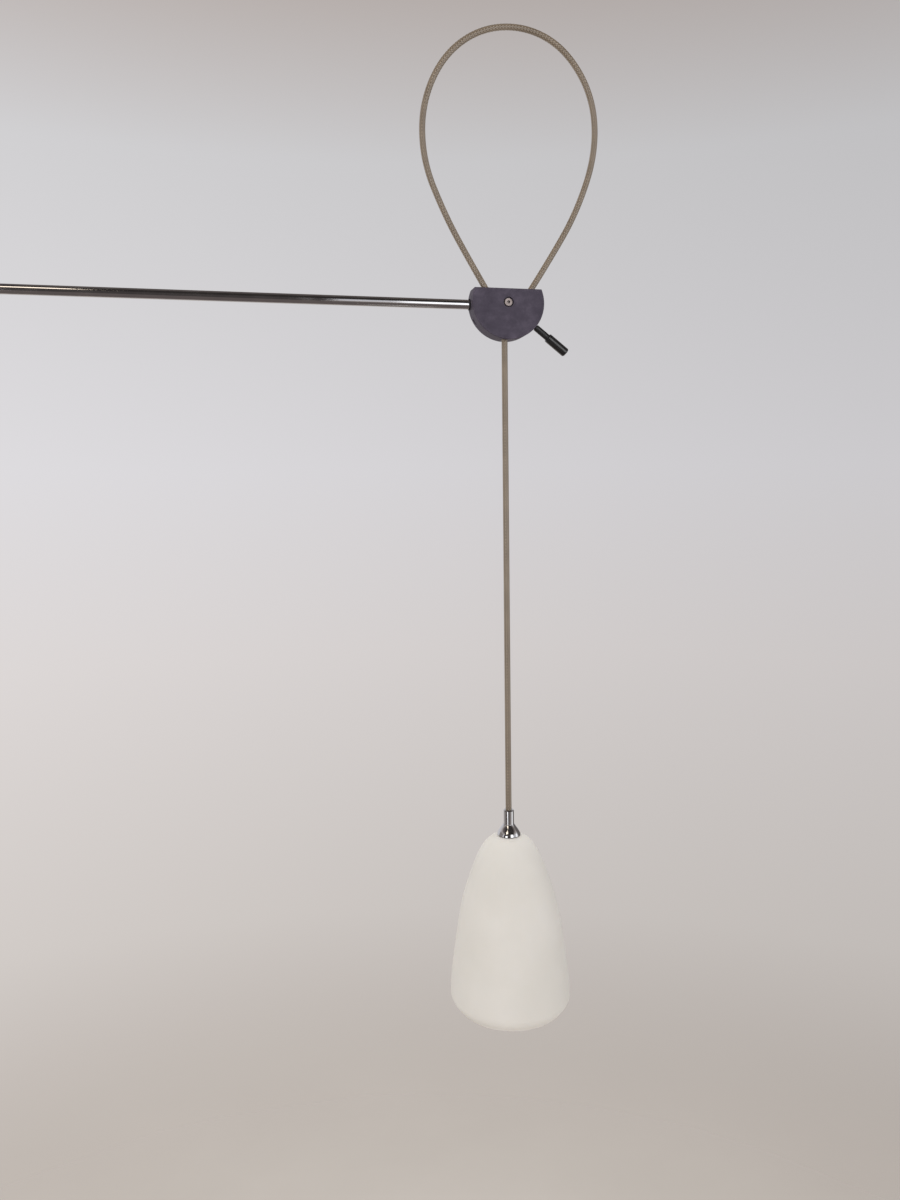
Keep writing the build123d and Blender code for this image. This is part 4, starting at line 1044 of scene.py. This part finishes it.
bump = add(
    tree,
    "ShaderNodeBump",
    {"Height": weave.outputs[0], "Strength": 0.35, "Distance": 0.00015},
)
tree.links.new(bump.outputs["Normal"], shader.inputs["Normal"])
# The runs inside the arm, the head and the shade's fittings show only at their ends: like colours, in
# plain patches.
inner_braid = surface(
    "bronze_rayon_braid_inside",
    ("#6d6152", "#9a8f7d"),
    patch=2.0,
    gloss=(0.4, 0.5),
    grain=0.9,
    depth=0.08,
    sockets={"Sheen Weight": 0.2, "Sheen Roughness": 0.4, "Sheen Tint": linear("#d8c9a8")},
)
finish(inner_braid, "braided_cable")

loop_line = route_line("loop_route", LOOP_ROUTE)
braid_sizes = {"Diameter": CABLE_D, "Jacket": jacket, **BRAID}
loop = grown("cable_loop_braid", braid_tree, loop_line, braid_sizes, jacket)
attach(loop, "arm")
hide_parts("cable_loop")
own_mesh(loop)

drop_line = route_line("drop_route", DROP_ROUTE)
drop = grown("cable_drop_braid", braid_tree, drop_line, braid_sizes, jacket)
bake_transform(drop)
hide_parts("cable_drop")

# Shade: slip-cast porcelain, fired without glaze. It hangs on the cable's fittings, held at its neck
# between two gaskets.
# Bisque porcelain: matte warm white; light enters it a little, and the casting leaves very faint waves
# and a fine chalky grain, which is drawn 0.9 mm wide to show.
CAST_WAVE = 55.0
CHALK_GRAIN = 0.9
porcelain, tree, shader = new_material(
    "bisque_porcelain",
    {
        "Subsurface Weight": 0.12,
        "Subsurface Radius": (0.004, 0.0036, 0.003),
        "Subsurface Scale": 1.0,
        "Specular IOR Level": 0.35,
    },
)
place = add(tree, "ShaderNodeTexCoord").outputs["Object"]
wave = add(tree, "ShaderNodeTexNoise", {"Vector": place, "Scale": 1000 / CAST_WAVE, "Detail": 3.0})
body = add(
    tree,
    "ShaderNodeValToRGB",
    {"Fac": wave.outputs["Fac"]},
    stops=((NOISE_LOW, "#e9e5df"), (NOISE_HIGH, "#f0ece7")),
)
tree.links.new(body.outputs["Color"], shader.inputs["Base Color"])
chalk = add(tree, "ShaderNodeTexNoise", {"Vector": place, "Scale": 1000 / CHALK_GRAIN, "Detail": 3.0})
rough = add(
    tree,
    "ShaderNodeMapRange",
    {
        "Value": chalk.outputs["Fac"],
        "From Min": NOISE_LOW,
        "From Max": NOISE_HIGH,
        "To Min": 0.55,
        "To Max": 0.7,
    },
)
tree.links.new(rough.outputs["Result"], shader.inputs["Roughness"])
bump = add(
    tree,
    "ShaderNodeBump",
    {"Height": chalk.outputs["Fac"], "Strength": 0.4, "Distance": 0.00004},
)
swell = add(
    tree,
    "ShaderNodeBump",
    {
        "Height": wave.outputs["Fac"],
        "Strength": 0.15,
        "Distance": 0.001,
        "Normal": bump.outputs["Normal"],
    },
)
tree.links.new(swell.outputs["Normal"], shader.inputs["Normal"])
finish(porcelain, "matte_porcelain")

# Lampholder: a moulded black cap and body round a steatite insert, screwed on the nipple under the
# shade's nut. Ribs round its body give it grip.
# Phenolic moulding: deep brown-black with a low gloss that handling has polished unevenly.
phenolic = surface(
    "phenolic_moulding",
    ("#141211", "#1f1c1a"),
    patch=10.0,
    gloss=(0.28, 0.42),
    grain=0.8,
    depth=0.01,
    sockets={"Specular IOR Level": 0.5},
)
finish(phenolic, "black_plastic")
# Steatite: unglazed cream ceramic with a dry fine grain.
steatite = surface(
    "unglazed_steatite",
    ("#d9d0bc", "#e4dcca"),
    patch=4.0,
    gloss=(0.6, 0.75),
    grain=0.5,
    depth=0.02,
    sockets={
        "Subsurface Weight": 0.08,
        "Subsurface Radius": (0.001, 0.0009, 0.0007),
        "Subsurface Scale": 1.0,
    },
)
finish(steatite, "steatite")
PENDANT_AXIS = (0.597, -0.0071)
HOLDER_RIBS = {"Count": 28, "Radius": 0.0138, "Rib radius": 0.0007, "Rib length": 0.022, "Corners": 6}
HOLDER_MIDDLE = (PENDANT_AXIS[0], PENDANT_AXIS[1], -0.9845)
ribs = grown(
    "lampholder_ribs",
    rib_tree,
    bpy.data.meshes.new("lampholder"),
    {"Middle": HOLDER_MIDDLE, "Finish": phenolic, **HOLDER_RIBS},
    phenolic,
)
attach(ribs, "pendant")

# Bulb: a small blown globe of opal glass on a screw base that turns into the lampholder's shell. It is
# switched off.
# Opal glass: milky white all through, under a clean gloss.
opal = surface(
    "opal_glass",
    ("#f1eee7", "#f5f3ee"),
    patch=20.0,
    gloss=(0.08, 0.14),
    grain=6.0,
    depth=0.01,
    sockets={
        "Subsurface Weight": 0.35,
        "Subsurface Radius": (0.006, 0.0055, 0.005),
        "Subsurface Scale": 1.0,
    },
)
finish(opal, "opal_glass")
